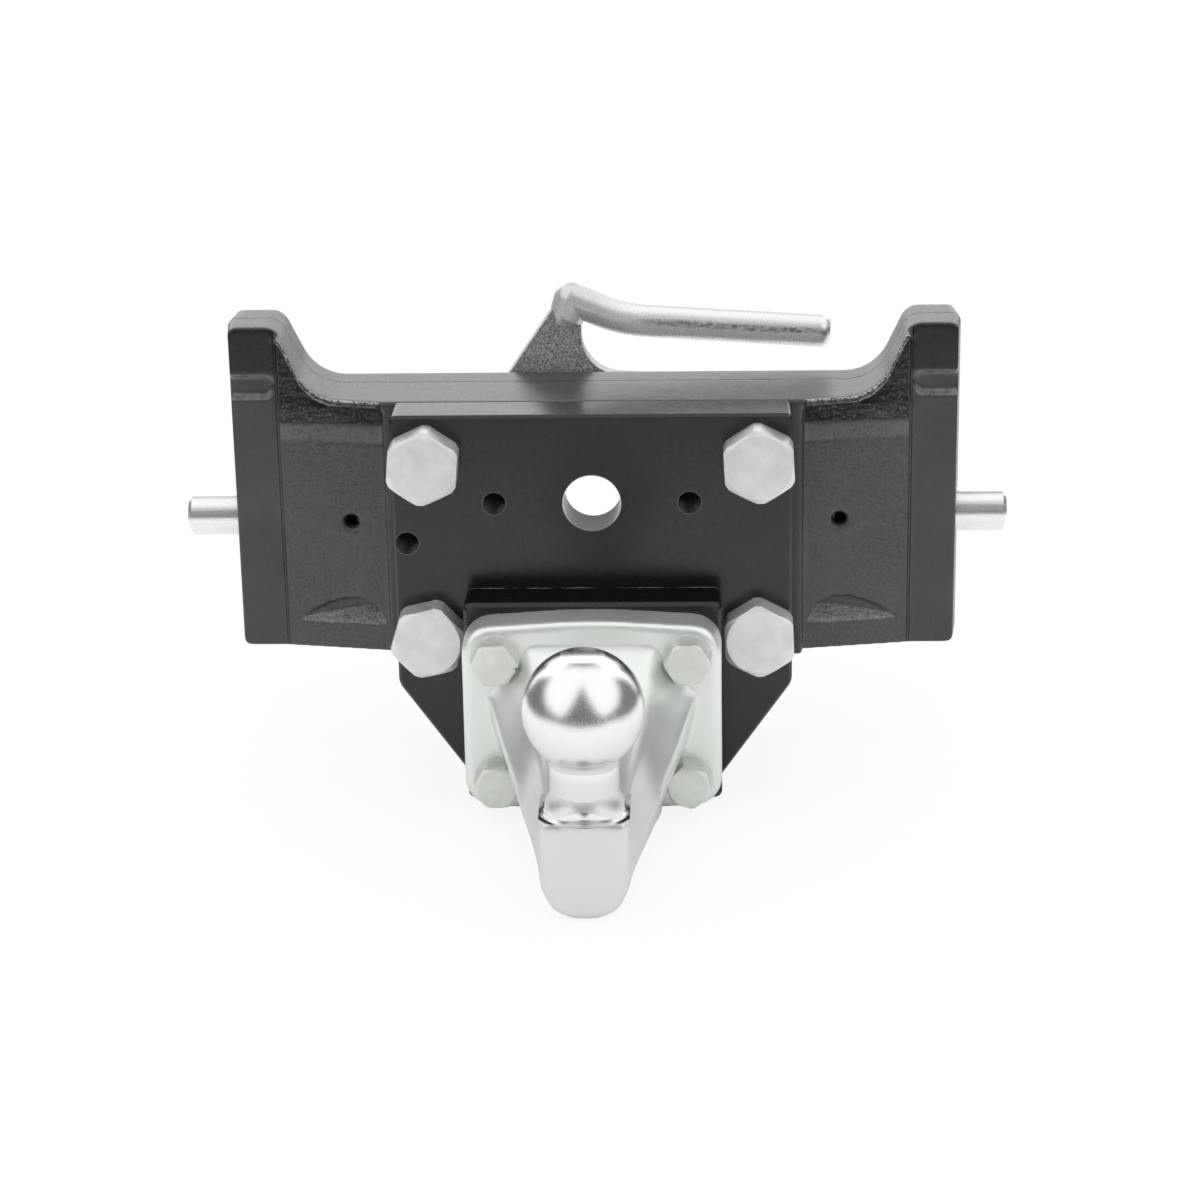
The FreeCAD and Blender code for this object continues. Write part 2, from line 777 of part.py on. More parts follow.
def make_handle_bar():
    """Bent bar: short leg off the neck, tight elbow, gentle bend and rounded free end."""
    start = V(handle_start[0], handle_y, handle_start[1])
    elbow = V(handle_elbow[0], handle_y, handle_elbow[1])
    bend = V(handle_bend[0], handle_y, handle_bend[1])
    end = V(handle_end[0], handle_y, handle_end[1])
    path = rounded_path([(elbow, 0), (bend, handle_bend_radius), (end, 0)])
    section = Part.Wire(Part.makeCircle(handle_radius, elbow, bend - elbow))
    bar = path.makePipeShell([section], True, True)
    rings = [e for e in bar.Edges if len(e.Vertexes) == 1 and (e.CenterOfMass - end).Length < 0.1]
    bar = bar.makeFillet(handle_end_round, rings)
    knuckle = Part.makeSphere(handle_radius, elbow)
    leg_run = elbow - start
    leg = Part.makeCylinder(handle_radius, leg_run.Length + handle_radius, elbow, leg_run * -1)
    below = Part.makeBox(80, 80, 40, V(-40, -40, -40))
    below.rotate(V(0, 0, 0), V(0, 1, 0), lever_neck_lean)
    below.translate(start)
    return bar.fuse([knuckle, leg.cut(below)]).removeSplitter()


def make_lever_plate():
    """Plate with two spiral lobes and a neck that carries the handle."""
    lobe = peg_radius + slot_clearance + lobe_margin
    plate = rod_y(hub_radius + lever_hub_margin, 0, pin_z, lever_front_y, lever_back_y)
    lobes = [spiral_band(lobe, sign, lever_front_y, lever_back_y) for sign in (-1, 1)]
    up = neck_direction()
    across = V(up.z, 0, -up.x) * (lever_neck_width / 2)
    top = V(handle_start[0], 0, handle_start[1])
    left = top - across
    right = top + across
    arm = slab(
        [
            (left.x, left.z, 0),
            (lever_shoulder_x, lever_shoulder_z, lever_shoulder_radius),
            (lever_notch_x, lever_notch_z, lever_notch_radius),
            (lever_flare_x, lever_flare_foot_z, lever_notch_radius),
            (lever_flare_x, lever_flare_z, lever_flare_corner_radius),
            (right.x, lever_neck_foot_z, lever_neck_foot_radius),
            (right.x, right.z, 0),
        ],
        lever_front_y,
        lever_back_y,
    )
    plate = plate.fuse(lobes + [arm]).removeSplitter()
    tools = [rod_y(hub_radius + running_clearance, 0, pin_z, lever_front_y - 1.0, lever_back_y + 1.0)]
    for sign in (-1, 1):
        tools.append(spiral_band(peg_radius + slot_clearance, sign, lever_front_y - 1.0, lever_back_y + 1.0))
    return plate.cut(tools)


def make_handle_weld(plate):
    """Fillet beads on both faces of the lever plate, under the end of the handle's leg."""
    start = V(handle_start[0], handle_y, handle_start[1])
    down = neck_direction() * -1
    toe_radius = lever_plate_thickness / 2 + weld_toe
    bead = Part.makeCone(handle_radius, toe_radius, weld_length, start, down)
    keep = Part.makeBox(
        lever_neck_width,
        4 * handle_radius,
        4 * handle_radius,
        V(-lever_neck_width / 2, -2 * handle_radius, -2 * handle_radius),
    )
    keep.rotate(V(0, 0, 0), V(0, 1, 0), lever_neck_lean)
    keep.translate(start)
    return Part.makeCompound(bead.common(keep).cut(plate).Solids)


def make_hub_rings():
    thrust = ring_y(hub_ring_radius, hub_radius + running_clearance, 0, pin_z, slide_back_y, lever_front_y - side_gap)
    cover = ring_y(
        hub_ring_radius,
        hub_radius + running_clearance,
        0,
        pin_z,
        cover_washer_y,
        cover_washer_y + cover_washer_thickness,
    )
    ring = ring_y(
        retaining_ring_radius,
        ring_groove_radius + running_clearance,
        0,
        pin_z,
        retaining_ring_y,
        retaining_ring_y + retaining_ring_thickness,
    )
    half_gap = ring_groove_radius * math.tan(math.radians(retaining_ring_opening / 2))
    gap = Part.makeBox(
        2 * half_gap, retaining_ring_thickness + 2.0, 40.0, V(-half_gap, retaining_ring_y - 1.0, pin_z - 40.0)
    )
    return thrust, cover, ring.cut(gap)


def build_nodes():
    lever_plate = make_lever_plate()
    thrust, cover, retaining = make_hub_rings()
    nodes = {
        "carrier_casting": make_carrier_casting(),
        "mounting_plate": make_mounting_plate(),
        "spacer_block": make_spacer_block(),
        "ball_bracket": make_ball_bracket(),
        "carrier_bolts": make_carrier_bolts(),
        "flange_bolts": make_flange_bolts(),
        "spring_washers": make_spring_washers(),
        "lever_plate": lever_plate,
        "handle_bar": make_handle_bar(),
        "handle_weld": make_handle_weld(lever_plate),
        "hub_thrust_washer": thrust,
        "hub_cover_washer": cover,
        "hub_retaining_ring": retaining,
    }
    pin_makers = {
        "locking_pin": make_locking_pin,
        "drive_peg": make_drive_peg,
        "spring_clip": make_spring_clip,
        "spring_washer": make_spring_washer,
        "pin_spring": make_pin_spring,
    }
    for name, maker in pin_makers.items():
        right = maker()
        nodes["right_" + name] = right
        nodes["left_" + name] = mirrored(right)
    return nodes


def main():
    os.makedirs("parts", exist_ok=True)
    for name, shape in build_nodes().items():
        if not shape.isValid():
            raise ValueError("not a valid solid: " + name)
        shape.exportStep("parts/" + name + ".step")
        print(name, len(shape.Solids), round(sum(s.Volume for s in shape.Solids), 1))


main()
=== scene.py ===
import json
import math

import bmesh
import bpy
from mathutils import Matrix, Vector


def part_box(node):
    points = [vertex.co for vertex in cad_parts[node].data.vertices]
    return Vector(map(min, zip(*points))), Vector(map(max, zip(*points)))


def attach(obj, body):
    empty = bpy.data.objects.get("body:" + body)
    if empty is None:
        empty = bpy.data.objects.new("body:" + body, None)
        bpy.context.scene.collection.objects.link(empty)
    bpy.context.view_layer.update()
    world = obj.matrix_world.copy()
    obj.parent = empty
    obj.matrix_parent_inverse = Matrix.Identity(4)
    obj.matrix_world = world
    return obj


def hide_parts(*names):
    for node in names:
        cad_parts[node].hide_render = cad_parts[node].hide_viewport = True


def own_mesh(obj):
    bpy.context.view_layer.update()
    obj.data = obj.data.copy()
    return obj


bl_info = {
    "name": "Height-adjustable ball hitch",
    "version": (1, 0, 0),
    "blender": (4, 5, 0),
    "location": "3D View > Sidebar > Ball Hitch",
    "description": "Dresses the packed ball hitch with its casting, forging, springs and studio",
    "category": "Object",
}

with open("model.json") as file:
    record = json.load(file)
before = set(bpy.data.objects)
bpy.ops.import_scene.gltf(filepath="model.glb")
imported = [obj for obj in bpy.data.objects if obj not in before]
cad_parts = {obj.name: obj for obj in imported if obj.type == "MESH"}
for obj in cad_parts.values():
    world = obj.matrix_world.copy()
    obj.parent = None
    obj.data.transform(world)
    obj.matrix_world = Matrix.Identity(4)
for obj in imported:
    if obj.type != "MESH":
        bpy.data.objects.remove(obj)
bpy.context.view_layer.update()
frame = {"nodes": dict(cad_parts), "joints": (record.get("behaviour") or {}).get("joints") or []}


# Sizes and colours that a user would change

class ForgingSizes(bpy.types.PropertyGroup):
    """Sizes of the ball, neck and springs, of the plate's holes, and of the refined meshes."""

    ball_radius: bpy.props.FloatProperty(
        name="Ball radius", description="Radius of the towing ball", default=0.025,
        subtype="DISTANCE", unit="LENGTH",
    )
    ball_height: bpy.props.FloatProperty(
        name="Ball height", description="Height of the ball's centre", default=-0.044,
        subtype="DISTANCE", unit="LENGTH",
    )
    ball_reach: bpy.props.FloatProperty(
        name="Ball reach", description="Distance of the ball's centre in front of the plate",
        default=0.128, subtype="DISTANCE", unit="LENGTH",
    )
    flat_radius: bpy.props.FloatProperty(
        name="Top flat", description="Radius of the turned flat on the ball", default=0.0084,
        subtype="DISTANCE", unit="LENGTH",
    )
    neck_radius: bpy.props.FloatProperty(
        name="Neck radius", description="Radius of the neck below the ball", default=0.0143,
        subtype="DISTANCE", unit="LENGTH",
    )
    foot_top: bpy.props.FloatProperty(
        name="Foot top", description="Height at which the neck flares into its turned foot",
        default=-0.079, subtype="DISTANCE", unit="LENGTH",
    )
    foot_radius: bpy.props.FloatProperty(
        name="Foot fillet", description="Radius of the turned fillet under the neck", default=0.008,
        subtype="DISTANCE", unit="LENGTH",
    )
    ear_recess: bpy.props.FloatProperty(
        name="Ear recess", description="How far the rough front of each ear lies behind its wing",
        default=0.0014, subtype="DISTANCE", unit="LENGTH",
    )
    foot_half_width: bpy.props.FloatProperty(
        name="Foot half width", description="Half the foot's width, where the arm's sides cut it",
        default=0.0186, subtype="DISTANCE", unit="LENGTH",
    )
    bore_radius: bpy.props.FloatProperty(
        name="Bore radius", description="Radius of the plate's bright bore", default=0.0125,
        subtype="DISTANCE", unit="LENGTH",
    )
    tap_radius: bpy.props.FloatProperty(
        name="Tapped radius", description="Core radius of the plate's tapped holes", default=0.0051,
        subtype="DISTANCE", unit="LENGTH",
    )
    forging_voxel: bpy.props.FloatProperty(
        name="Forging grain", description="Mesh size of the refined forging", default=0.0009,
        subtype="DISTANCE", unit="LENGTH",
    )
    casting_voxel: bpy.props.FloatProperty(
        name="Casting grain", description="Mesh size of the refined casting", default=0.0011,
        subtype="DISTANCE", unit="LENGTH",
    )
    spring_radius: bpy.props.FloatProperty(
        name="Spring radius", description="Mean radius of the pin springs", default=0.0122,
        subtype="DISTANCE", unit="LENGTH",
    )
    wire_radius: bpy.props.FloatProperty(
        name="Wire radius", description="Radius of the spring wire", default=0.0011,
        subtype="DISTANCE", unit="LENGTH",
    )
    spring_turns: bpy.props.IntProperty(
        name="Spring turns", description="Full turns of each pin spring", default=7, min=2
    )


class FinishColours(bpy.types.PropertyGroup):
    """Colours of the paints and platings."""

    casting_black: bpy.props.FloatVectorProperty(
        name="Casting black", description="Satin black paint of the casting",
        default=(0.036, 0.036, 0.037, 1.0), size=4, subtype="COLOR", min=0.0, max=1.0,
    )
    plate_black: bpy.props.FloatVectorProperty(
        name="Plate black", description="Smooth black paint of the plate",
        default=(0.006, 0.006, 0.0063, 1.0), size=4, subtype="COLOR", min=0.0, max=1.0,
    )
    block_black: bpy.props.FloatVectorProperty(
        name="Block black", description="Deep black paint of the spacer block",
        default=(0.004, 0.004, 0.004, 1.0), size=4, subtype="COLOR", min=0.0, max=1.0,
    )
    bright_zinc: bpy.props.FloatVectorProperty(
        name="Bright zinc", description="Bright zinc plating of the forging and pins",
        default=(0.80, 0.81, 0.79, 1.0), size=4, subtype="COLOR", min=0.0, max=1.0,
    )
    matte_zinc: bpy.props.FloatVectorProperty(
        name="Matte zinc", description="Matte zinc plating of the bolts",
        default=(0.70, 0.71, 0.69, 1.0), size=4, subtype="COLOR", min=0.0, max=1.0,
    )
    galvanised: bpy.props.FloatVectorProperty(
        name="Galvanised grey", description="Grained grey of the lever plate",
        default=(0.44, 0.45, 0.44, 1.0), size=4, subtype="COLOR", min=0.0, max=1.0,
    )
    plain_steel: bpy.props.FloatVectorProperty(
        name="Plain steel", description="Bare steel of rings and springs",
        default=(0.42, 0.42, 0.43, 1.0), size=4, subtype="COLOR", min=0.0, max=1.0,
    )


class StudioSettings(bpy.types.PropertyGroup):
    """Camera, light and floor."""

    camera_place: bpy.props.FloatVectorProperty(
        name="Camera place", description="Where the camera stands",
        default=(0.0553, -1.3849, 0.4703), size=3, subtype="TRANSLATION", unit="LENGTH",
    )
    azimuth: bpy.props.FloatProperty(
        name="Azimuth", description="Camera's turn to its left about the vertical",
        default=math.radians(2.17), subtype="ANGLE", unit="ROTATION",
    )
    elevation: bpy.props.FloatProperty(
        name="Elevation", description="Camera's downward tilt", default=math.radians(20.39),
        subtype="ANGLE", unit="ROTATION",
    )
    roll: bpy.props.FloatProperty(
        name="Roll", description="Camera's roll about its own axis", default=math.radians(-1.04),
        subtype="ANGLE", unit="ROTATION",
    )
    focal_share: bpy.props.FloatProperty(
        name="Focal share", description="Focal length as a multiple of the image width",
        default=2.8086,
    )
    floor_height: bpy.props.FloatProperty(
        name="Floor height", description="Height of the floor under the part", default=-0.1312,
        subtype="DISTANCE", unit="LENGTH",
    )
    dome_light: bpy.props.FloatProperty(
        name="Front dome", description="Brightness of the wide softbox high in front", default=1.25
    )
    back_light: bpy.props.FloatProperty(
        name="Back wall", description="Brightness of the lit wall behind the object", default=1.8
    )
    room_light: bpy.props.FloatProperty(
        name="Room light", description="Brightness of the rest of the room", default=0.2
    )
    table_reach: bpy.props.FloatProperty(
        name="White table", description="How far in front of the plate the white table reaches",
        default=0.55, subtype="DISTANCE", unit="LENGTH",
    )


# Where the casting's features lie, in metres: distance from the middle, depth behind the plate's
# front and height over the bore.

POCKET_INSIDE, POCKET_OUTSIDE, POCKET_BACK = 0.093, 0.1388, 0.044
SCOOP_FOOT, SCOOP_BACK = 0.0262, 0.038
RIM_FOOT, RIM_LEAN, RIM_DEPTH, RIM_WIDTH = 0.037, 0.2, 0.0016, (0.0016, 0.0024)
SHOULDER_FOOT = 0.0190
BOSS_FOOT = -0.079
LEDGE_FOOT, LEDGE_TOP = -0.072, -0.056
WING_SEAM, SEAM_BACK = 0.1397, 0.036
EAR_FRONT_FOOT = 0.0485
EAR_RIB_FOOT, EAR_RIB_TOP = 0.028, 0.052
PARTING_DEPTH, PARTING_WANDER = 0.0499, 0.0022

# The hollow in the front of each ear and the arc of the rim above it. Places are (distance from the
# middle, height).

EAR_RIM_CENTRE, EAR_RIM_RADIUS, EAR_RIM_ARC = (0.1112, 0.0575), 0.021, (-90.0, -25.6)
EAR_HOLLOW_FOOT, EAR_HOLLOW_TIP = 0.0345, [(0.1366, 0.062), (0.1395, 0.065)]
EAR_CUT_FRONT, EAR_FACE = 0.015, 0.035

# The plate, the forging and the lever.

TAPPED_HOLES = ((-0.0425, 0.0), (0.0425, 0.0), (-0.081, -0.018))
THREAD_PITCH = 0.00175
HOLE_MARGIN = 0.0002
BORE_SHADE = (-0.0105, -0.004)
JOINT_GLINT_BAND = (-0.0009, -0.0005)
TRIMMED_EDGE_FRONT = -0.036
FLANGE_THICKNESS = 0.0187
BOLT_HEAD_REACH = 0.0115
ARM_FRONT, ARM_BACK = -0.08, -0.05
NECK_TOP, FOOT_LINE = -0.068, -0.0795
DARKENED_TO = 0.146
GRIP_SLOPE, GRIP_HEIGHT = -0.0672, 0.0629
REFLECTION_LOW, REFLECTION_HIGH, REFLECTION_START = -0.0004, 0.0024, (0.014, 0.03)
ELBOW, UNDERSIDE = (0.0, 0.02), (-0.0045, -0.002)

# Tones of worn and bare metal, of painted highlights, glints, reflections and shade, and of the
# darker pins, and the green cast of the zinc as a factor on each colour.

WORN_IRON_AND_HIGHLIGHT = (0.5, 0.5, 0.5, 1.0)
JOINT_GLINT_TONE = (0.4, 0.4, 0.4, 1.0)
DARK_REFLECTION = (0.12, 0.125, 0.125, 1.0)
TURNED_STEEL = ((0.65, 0.65, 0.65, 1.0), (0.9, 0.9, 0.89, 1.0))
SHADED_STEEL = (0.22, 0.22, 0.22, 1.0)
THREAD_STEEL = (0.12, 0.12, 0.12, 1.0)
DARK_PIN_TONES = ((0.01, 0.01, 0.01, 1.0), (0.03, 0.03, 0.028, 1.0))
FORGING_CAST, BOLT_CAST = (0.93, 0.98, 0.95), (0.98, 1.0, 0.975)

# The share of plain white that the floor adds to what the camera sees of it.

FLOOR_GLOW = 0.86

# Where the room's lights lie, in parts of a direction: away from the middle, back and up. A pair is
# the soft edge of a light, or of the dark stand in the middle of the dome.

DOME_TOWARDS, DOME_EDGE = (0.53, -0.79, 1.25), (0.9, 1.1)
WALL_SIDE, WALL_FRONT, WALL_TOP = (0.68, 0.8), (0.2, 0.45), (0.75, 0.88)
STAND_LEAN, STAND_SIDE, STAND_BACK = 0.64, (0.54, 0.66), (-0.35, -0.2)

# The Mix node's sockets for colours and for numbers share their names, so they go by their places.

MIX_COLOUR_INPUTS, MIX_COLOUR_OUTPUT = (6, 7), 2
MIX_FACTOR, MIX_NUMBER_INPUTS, MIX_NUMBER_OUTPUT = 0, (2, 3), 0

# How finely the meshes are made.

MOST_TRIANGLES = 190000  # in the casting
CASTING_PASSES, FORGING_PASSES, FLANGE_PASSES = 2, 4, 40  # of smoothing
EAR_RIM_STEPS = 12
BALL_STEPS, FOOT_STEPS, ROUND_STEPS = 48, 16, 128
STEPS_PER_TURN, WIRE_SIDES = 28, 12
SAME_PLACE = 1e-6


# Materials

class Nodes:
    """A node tree with small helpers that add nodes to it and join them."""

    def __init__(self, tree, coordinate):
        self.tree = tree
        self.place = self.add("ShaderNodeTexCoord").outputs[coordinate]

    def add(self, kind, **settings):
        node = self.tree.nodes.new(kind)
        for key, value in settings.items():
            setattr(node, key, value)
        return node

    def join(self, source, target):
        self.tree.links.new(source, target)

    def stretched(self, scale):
        """Coordinates stretched by a factor along each axis."""
        mapping = self.add("ShaderNodeMapping")
        mapping.inputs["Scale"].default_value = scale
        self.join(self.place, mapping.inputs["Vector"])
        return mapping.outputs["Vector"]

    def noise(self, scale, detail=3.0, roughness=0.55, distortion=0.0, stretch=None):
        """Cloudy noise from 0 to 1, stretched along the axes where that is asked for."""
        node = self.add("ShaderNodeTexNoise")
        for name, number in (
            ("Scale", scale),
            ("Detail", detail),
            ("Roughness", roughness),
            ("Distortion", distortion),
        ):
            node.inputs[name].default_value = number
        self.join(self.stretched(stretch) if stretch else self.place, node.inputs["Vector"])
        return node.outputs["Fac"]

    def spread(self, value, low, high, to_low, to_high):
        """Value mapped from low..high onto to_low..to_high, clamped."""
        node = self.add("ShaderNodeMapRange")
        node.clamp = True
        for name, number in (
            ("From Min", low), ("From Max", high), ("To Min", to_low), ("To Max", to_high)
        ):
            node.inputs[name].default_value = number
        self.join(value, node.inputs["Value"])
        return node.outputs["Result"]

    def rise(self, value, low, high):
        """Zero up to low, one from high on."""
        return self.spread(value, low, high, 0.0, 1.0)

    def fall(self, value, low, high):
        """One up to low, zero from high on."""
        return self.spread(value, low, high, 1.0, 0.0)

    def between(self, value, low, high, edge):
        """One where a value lies between two limits, with soft edges."""
        above = self.rise(value, low - edge, low + edge)
        below = self.fall(value, high - edge, high + edge)
        return self.both(above, below)

    def calculate(self, operation, *values):
        """A sum worked out from numbers and sockets."""
        node = self.add("ShaderNodeMath", operation=operation)
        for socket, value in zip(node.inputs, values):
            if isinstance(value, (int, float)):
                socket.default_value = value
            else:
                self.join(value, socket)
        return node.outputs["Value"]

    def both(self, *masks):
        """The product of several masks or numbers."""
        result = masks[0]
        for mask in masks[1:]:
            result = self.calculate("MULTIPLY", result, mask)
        return result

    def either(self, *masks):
        """The largest of several masks."""
        result = masks[0]
        for mask in masks[1:]:
            result = self.calculate("MAXIMUM", result, mask)
        return result

    def axis(self, letter):
        """One coordinate, in metres on a piece."""
        node = self.add("ShaderNodeSeparateXYZ")
        self.join(self.place, node.inputs["Vector"])
        return node.outputs[letter]

    def sideways(self):
        """The distance from the middle plane."""
        return self.calculate("ABSOLUTE", self.axis("X"))

    def away_from(self, value, place):
        """The distance of a value from a place."""
        return self.calculate("ABSOLUTE", self.calculate("SUBTRACT", value, place))

    def facing(self, letter):
        """One component of the surface's own direction, from -1 to 1."""
        node = self.add("ShaderNodeSeparateXYZ")
        self.join(self.add("ShaderNodeNewGeometry").outputs["Normal"], node.inputs["Vector"])
        return node.outputs[letter]

    def hole(self, centre_x, centre_z, radius):
        """One inside a hole along the Y axis."""
        squares = [
            self.calculate("POWER", self.away_from(self.axis(letter), centre), 2.0)
            for letter, centre in (("X", centre_x), ("Z", centre_z))
        ]
        reach = self.calculate("SQRT", self.calculate("ADD", *squares))
        return self.fall(reach, radius, radius + 0.0001)

    def blend(self, factor, first, second):
        """Colour between two colours or colour sockets."""
        node = self.add("ShaderNodeMix", data_type="RGBA")
        self.join(factor, node.inputs["Factor"])
        for number, value in zip(MIX_COLOUR_INPUTS, (first, second)):
            if hasattr(value, "is_output"):
                self.join(value, node.inputs[number])
            else:
                node.inputs[number].default_value = value
        return node.outputs[MIX_COLOUR_OUTPUT]


class Finish(Nodes):
    """A material with its Principled surface."""

    def __init__(self, name, colour, metallic, roughness):
        self.material = bpy.data.materials.new(name)
        self.material.use_nodes = True
        self.material.diffuse_color = colour
        super().__init__(self.material.node_tree, "Object")
        self.surface = self.tree.nodes["Principled BSDF"]
        self.surface.inputs["Base Color"].default_value = colour
        self.surface.inputs["Metallic"].default_value = metallic
        self.surface.inputs["Roughness"].default_value = roughness

    def give(self, **sockets):
        """Joins sockets to the surface's inputs of these names."""
        for name, socket in sockets.items():
            self.join(socket, self.surface.inputs[name.replace("_", " ")])

    def relief(self, *layers):
        """Lays bumps over each other, each a height, its distance in metres and its strength."""
        before = None
        for height, distance, strength in layers:
            node = self.add("ShaderNodeBump")
            node.inputs["Distance"].default_value = distance
            node.inputs["Strength"].default_value = strength
            self.join(height, node.inputs["Height"])
            if before is not None:
                self.join(before, node.inputs["Normal"])
            before = node.outputs["Normal"]
        self.give(Normal=before)

    def emission(self, strength):
        node = self.add("ShaderNodeEmission")
        node.inputs["Strength"].default_value = strength
        return node.outputs["Emission"]

    def mixed(self, factor, first, second):
        """One shader turning into another by a factor."""
        node = self.add("ShaderNodeMixShader")
        for socket, source in zip(node.inputs, (factor, first, second)):
            self.join(source, socket)
        return node.outputs["Shader"]


def shaded(colour, factor):
    """A colour made lighter or darker by a factor."""
    return tuple(min(1.0, c * factor) for c in colour[:3]) + (1.0,)


def tinted(colour, factors):
    """A colour with red, green and blue each made lighter or darker by a factor of their own."""
    return tuple(c * factor for c, factor in zip(colour, factors)) + (1.0,)


def cast_paint(colours):
    """Satin black paint on cast iron: parting line, rough scoops, worn rims and grained ledges;
    painted highlights on rims, ledges and ear ribs, painted shade on ear fronts.
    """
    base = tuple(colours.casting_black)
    finish = Finish("Black cast paint", base, 0.0, 0.3)
    across, depth, height = finish.sideways(), finish.axis("Y"), finish.axis("Z")
    forward, upward = finish.facing("Y"), finish.facing("Z")
    facing_front = finish.fall(forward, -0.8, -0.6)
    grain = finish.noise(850.0, 4.0, 0.65)
    waves = finish.noise(90.0, 3.0, 0.5)
    patches = finish.noise(24.0, 2.0, 0.5)
    ribs = finish.noise(380.0, 5.0, 0.62, 0.6, stretch=(0.42, 0.8, 1.5))
    ridges = finish.noise(1100.0, 4.0, 0.65)

    pocket = finish.both(
        finish.between(across, POCKET_INSIDE, POCKET_OUTSIDE, 0.0006),
        finish.fall(depth, POCKET_BACK, POCKET_BACK + 0.002),
    )
    # The rim's front edge runs back towards the ear; below and behind it lies the rough scoop.
    rim_front = finish.calculate("MULTIPLY_ADD", across, RIM_LEAN, RIM_DEPTH)
    behind_rim = finish.calculate("SUBTRACT", depth, rim_front)
    scoop = finish.both(
        pocket,
        finish.rise(height, SCOOP_FOOT, SCOOP_FOOT + 0.0014),
        facing_front,
        finish.fall(depth, SCOOP_BACK, SCOOP_BACK + 0.001),
    )
    # Painted highlight: a speckled light line along the rim's front edge where it turns up towards
    # the light, over the rim's worn paint.
    worn_rim_and_highlight = finish.both(
        pocket,
        finish.rise(height, RIM_FOOT, RIM_FOOT + 0.001),
        finish.between(forward, -0.9, -0.3, 0.08),
        finish.fall(behind_rim, *RIM_WIDTH),
        finish.rise(finish.noise(1300.0, 3.0, 0.7), 0.44, 0.54),
    )
    ledge = finish.both(
        pocket,
        finish.between(height, LEDGE_FOOT, LEDGE_TOP, 0.0007),
        finish.rise(upward, 0.12, 0.4),
    )
    boss = finish.both(pocket, finish.between(height, BOSS_FOOT, SCOOP_FOOT, 0.001))
    shoulder = finish.both(pocket, finish.between(height, SHOULDER_FOOT, SCOOP_FOOT, 0.001))
    # Painted shade: the ears' front faces above their foot made darker.
    ear_front_shade = finish.both(
        finish.rise(across, WING_SEAM - 0.0005, WING_SEAM + 0.0001),
        finish.rise(height, EAR_FRONT_FOOT, EAR_FRONT_FOOT + 0.001),
        facing_front,
    )
    # Painted highlight on the upper and lower faces of each ear's rib.
    ear_rib_highlight = finish.both(
        finish.rise(across, WING_SEAM + 0.0001, WING_SEAM + 0.0007),
        finish.between(height, EAR_RIB_FOOT, EAR_RIB_TOP, 0.001),
        finish.rise(finish.calculate("ABSOLUTE", upward), 0.1, 0.5),
        finish.spread(finish.noise(300.0, 3.0, 0.6), 0.4, 0.6, 0.4, 1.0),
    )
    seam = finish.both(
        finish.fall(finish.away_from(across, WING_SEAM), 0.0002, 0.0008),
        finish.fall(depth, SEAM_BACK, SEAM_BACK + 0.001),
    )
    # The halves of the mould left a thin dark line that wanders a little about the middle plane.
    bends = finish.noise(30.0, 2.0, 0.5)
    wander = finish.calculate("MULTIPLY_ADD", bends, PARTING_WANDER, PARTING_DEPTH)
    line = finish.fall(finish.away_from(depth, wander), 0.00035, 0.0009)

    paint = finish.blend(finish.rise(patches, 0.35, 0.65), shaded(base, 0.85), shaded(base, 1.15))
    for mask, tone in (
        (finish.both(boss, finish.spread(grain, 0.4, 0.62, 0.0, 0.8)), shaded(base, 1.9)),
        (finish.both(shoulder, finish.spread(grain, 0.3, 0.6, 0.3, 0.7)), shaded(base, 3.4)),
        (finish.both(scoop, finish.fall(ribs, 0.44, 0.6)), shaded(base, 0.1)),
        (finish.both(scoop, finish.rise(ridges, 0.52, 0.66)), shaded(base, 4.0)),
        (ear_rib_highlight, shaded(base, 4.0)),
        # Painted light: the ledges' upward faces made lighter, over their grain.
        (finish.both(ledge, finish.spread(grain, 0.4, 0.6, 0.3, 1.0)), shaded(base, 6.5)),
        (finish.both(ear_front_shade, 0.8), shaded(base, 0.1)),
        (worn_rim_and_highlight, WORN_IRON_AND_HIGHLIGHT),
        (finish.both(line, 0.85), shaded(base, 0.15)),
    ):
        paint = finish.blend(mask, paint, tone)
    finish.give(Base_Color=paint, Roughness=finish.spread(grain, 0.3, 0.7, 0.24, 0.38))
    finish.relief(
        (finish.both(finish.spread(across, 0.139, 0.141, 1.0, 0.35), grain), 0.00014, 0.8),
        (waves, 0.0004, 0.5),
        (finish.both(boss, finish.noise(420.0, 3.0, 0.6)), 0.0004, 0.6),
        (finish.both(scoop, ribs), 0.0026, 1.0),
        (finish.both(ledge, finish.noise(700.0, 3.0, 0.65)), 0.0012, 0.9),
        (seam, 0.0007, 1.0),
        (finish.calculate("SUBTRACT", 1.0, line), 0.0004, 0.8),
    )
    return finish.material


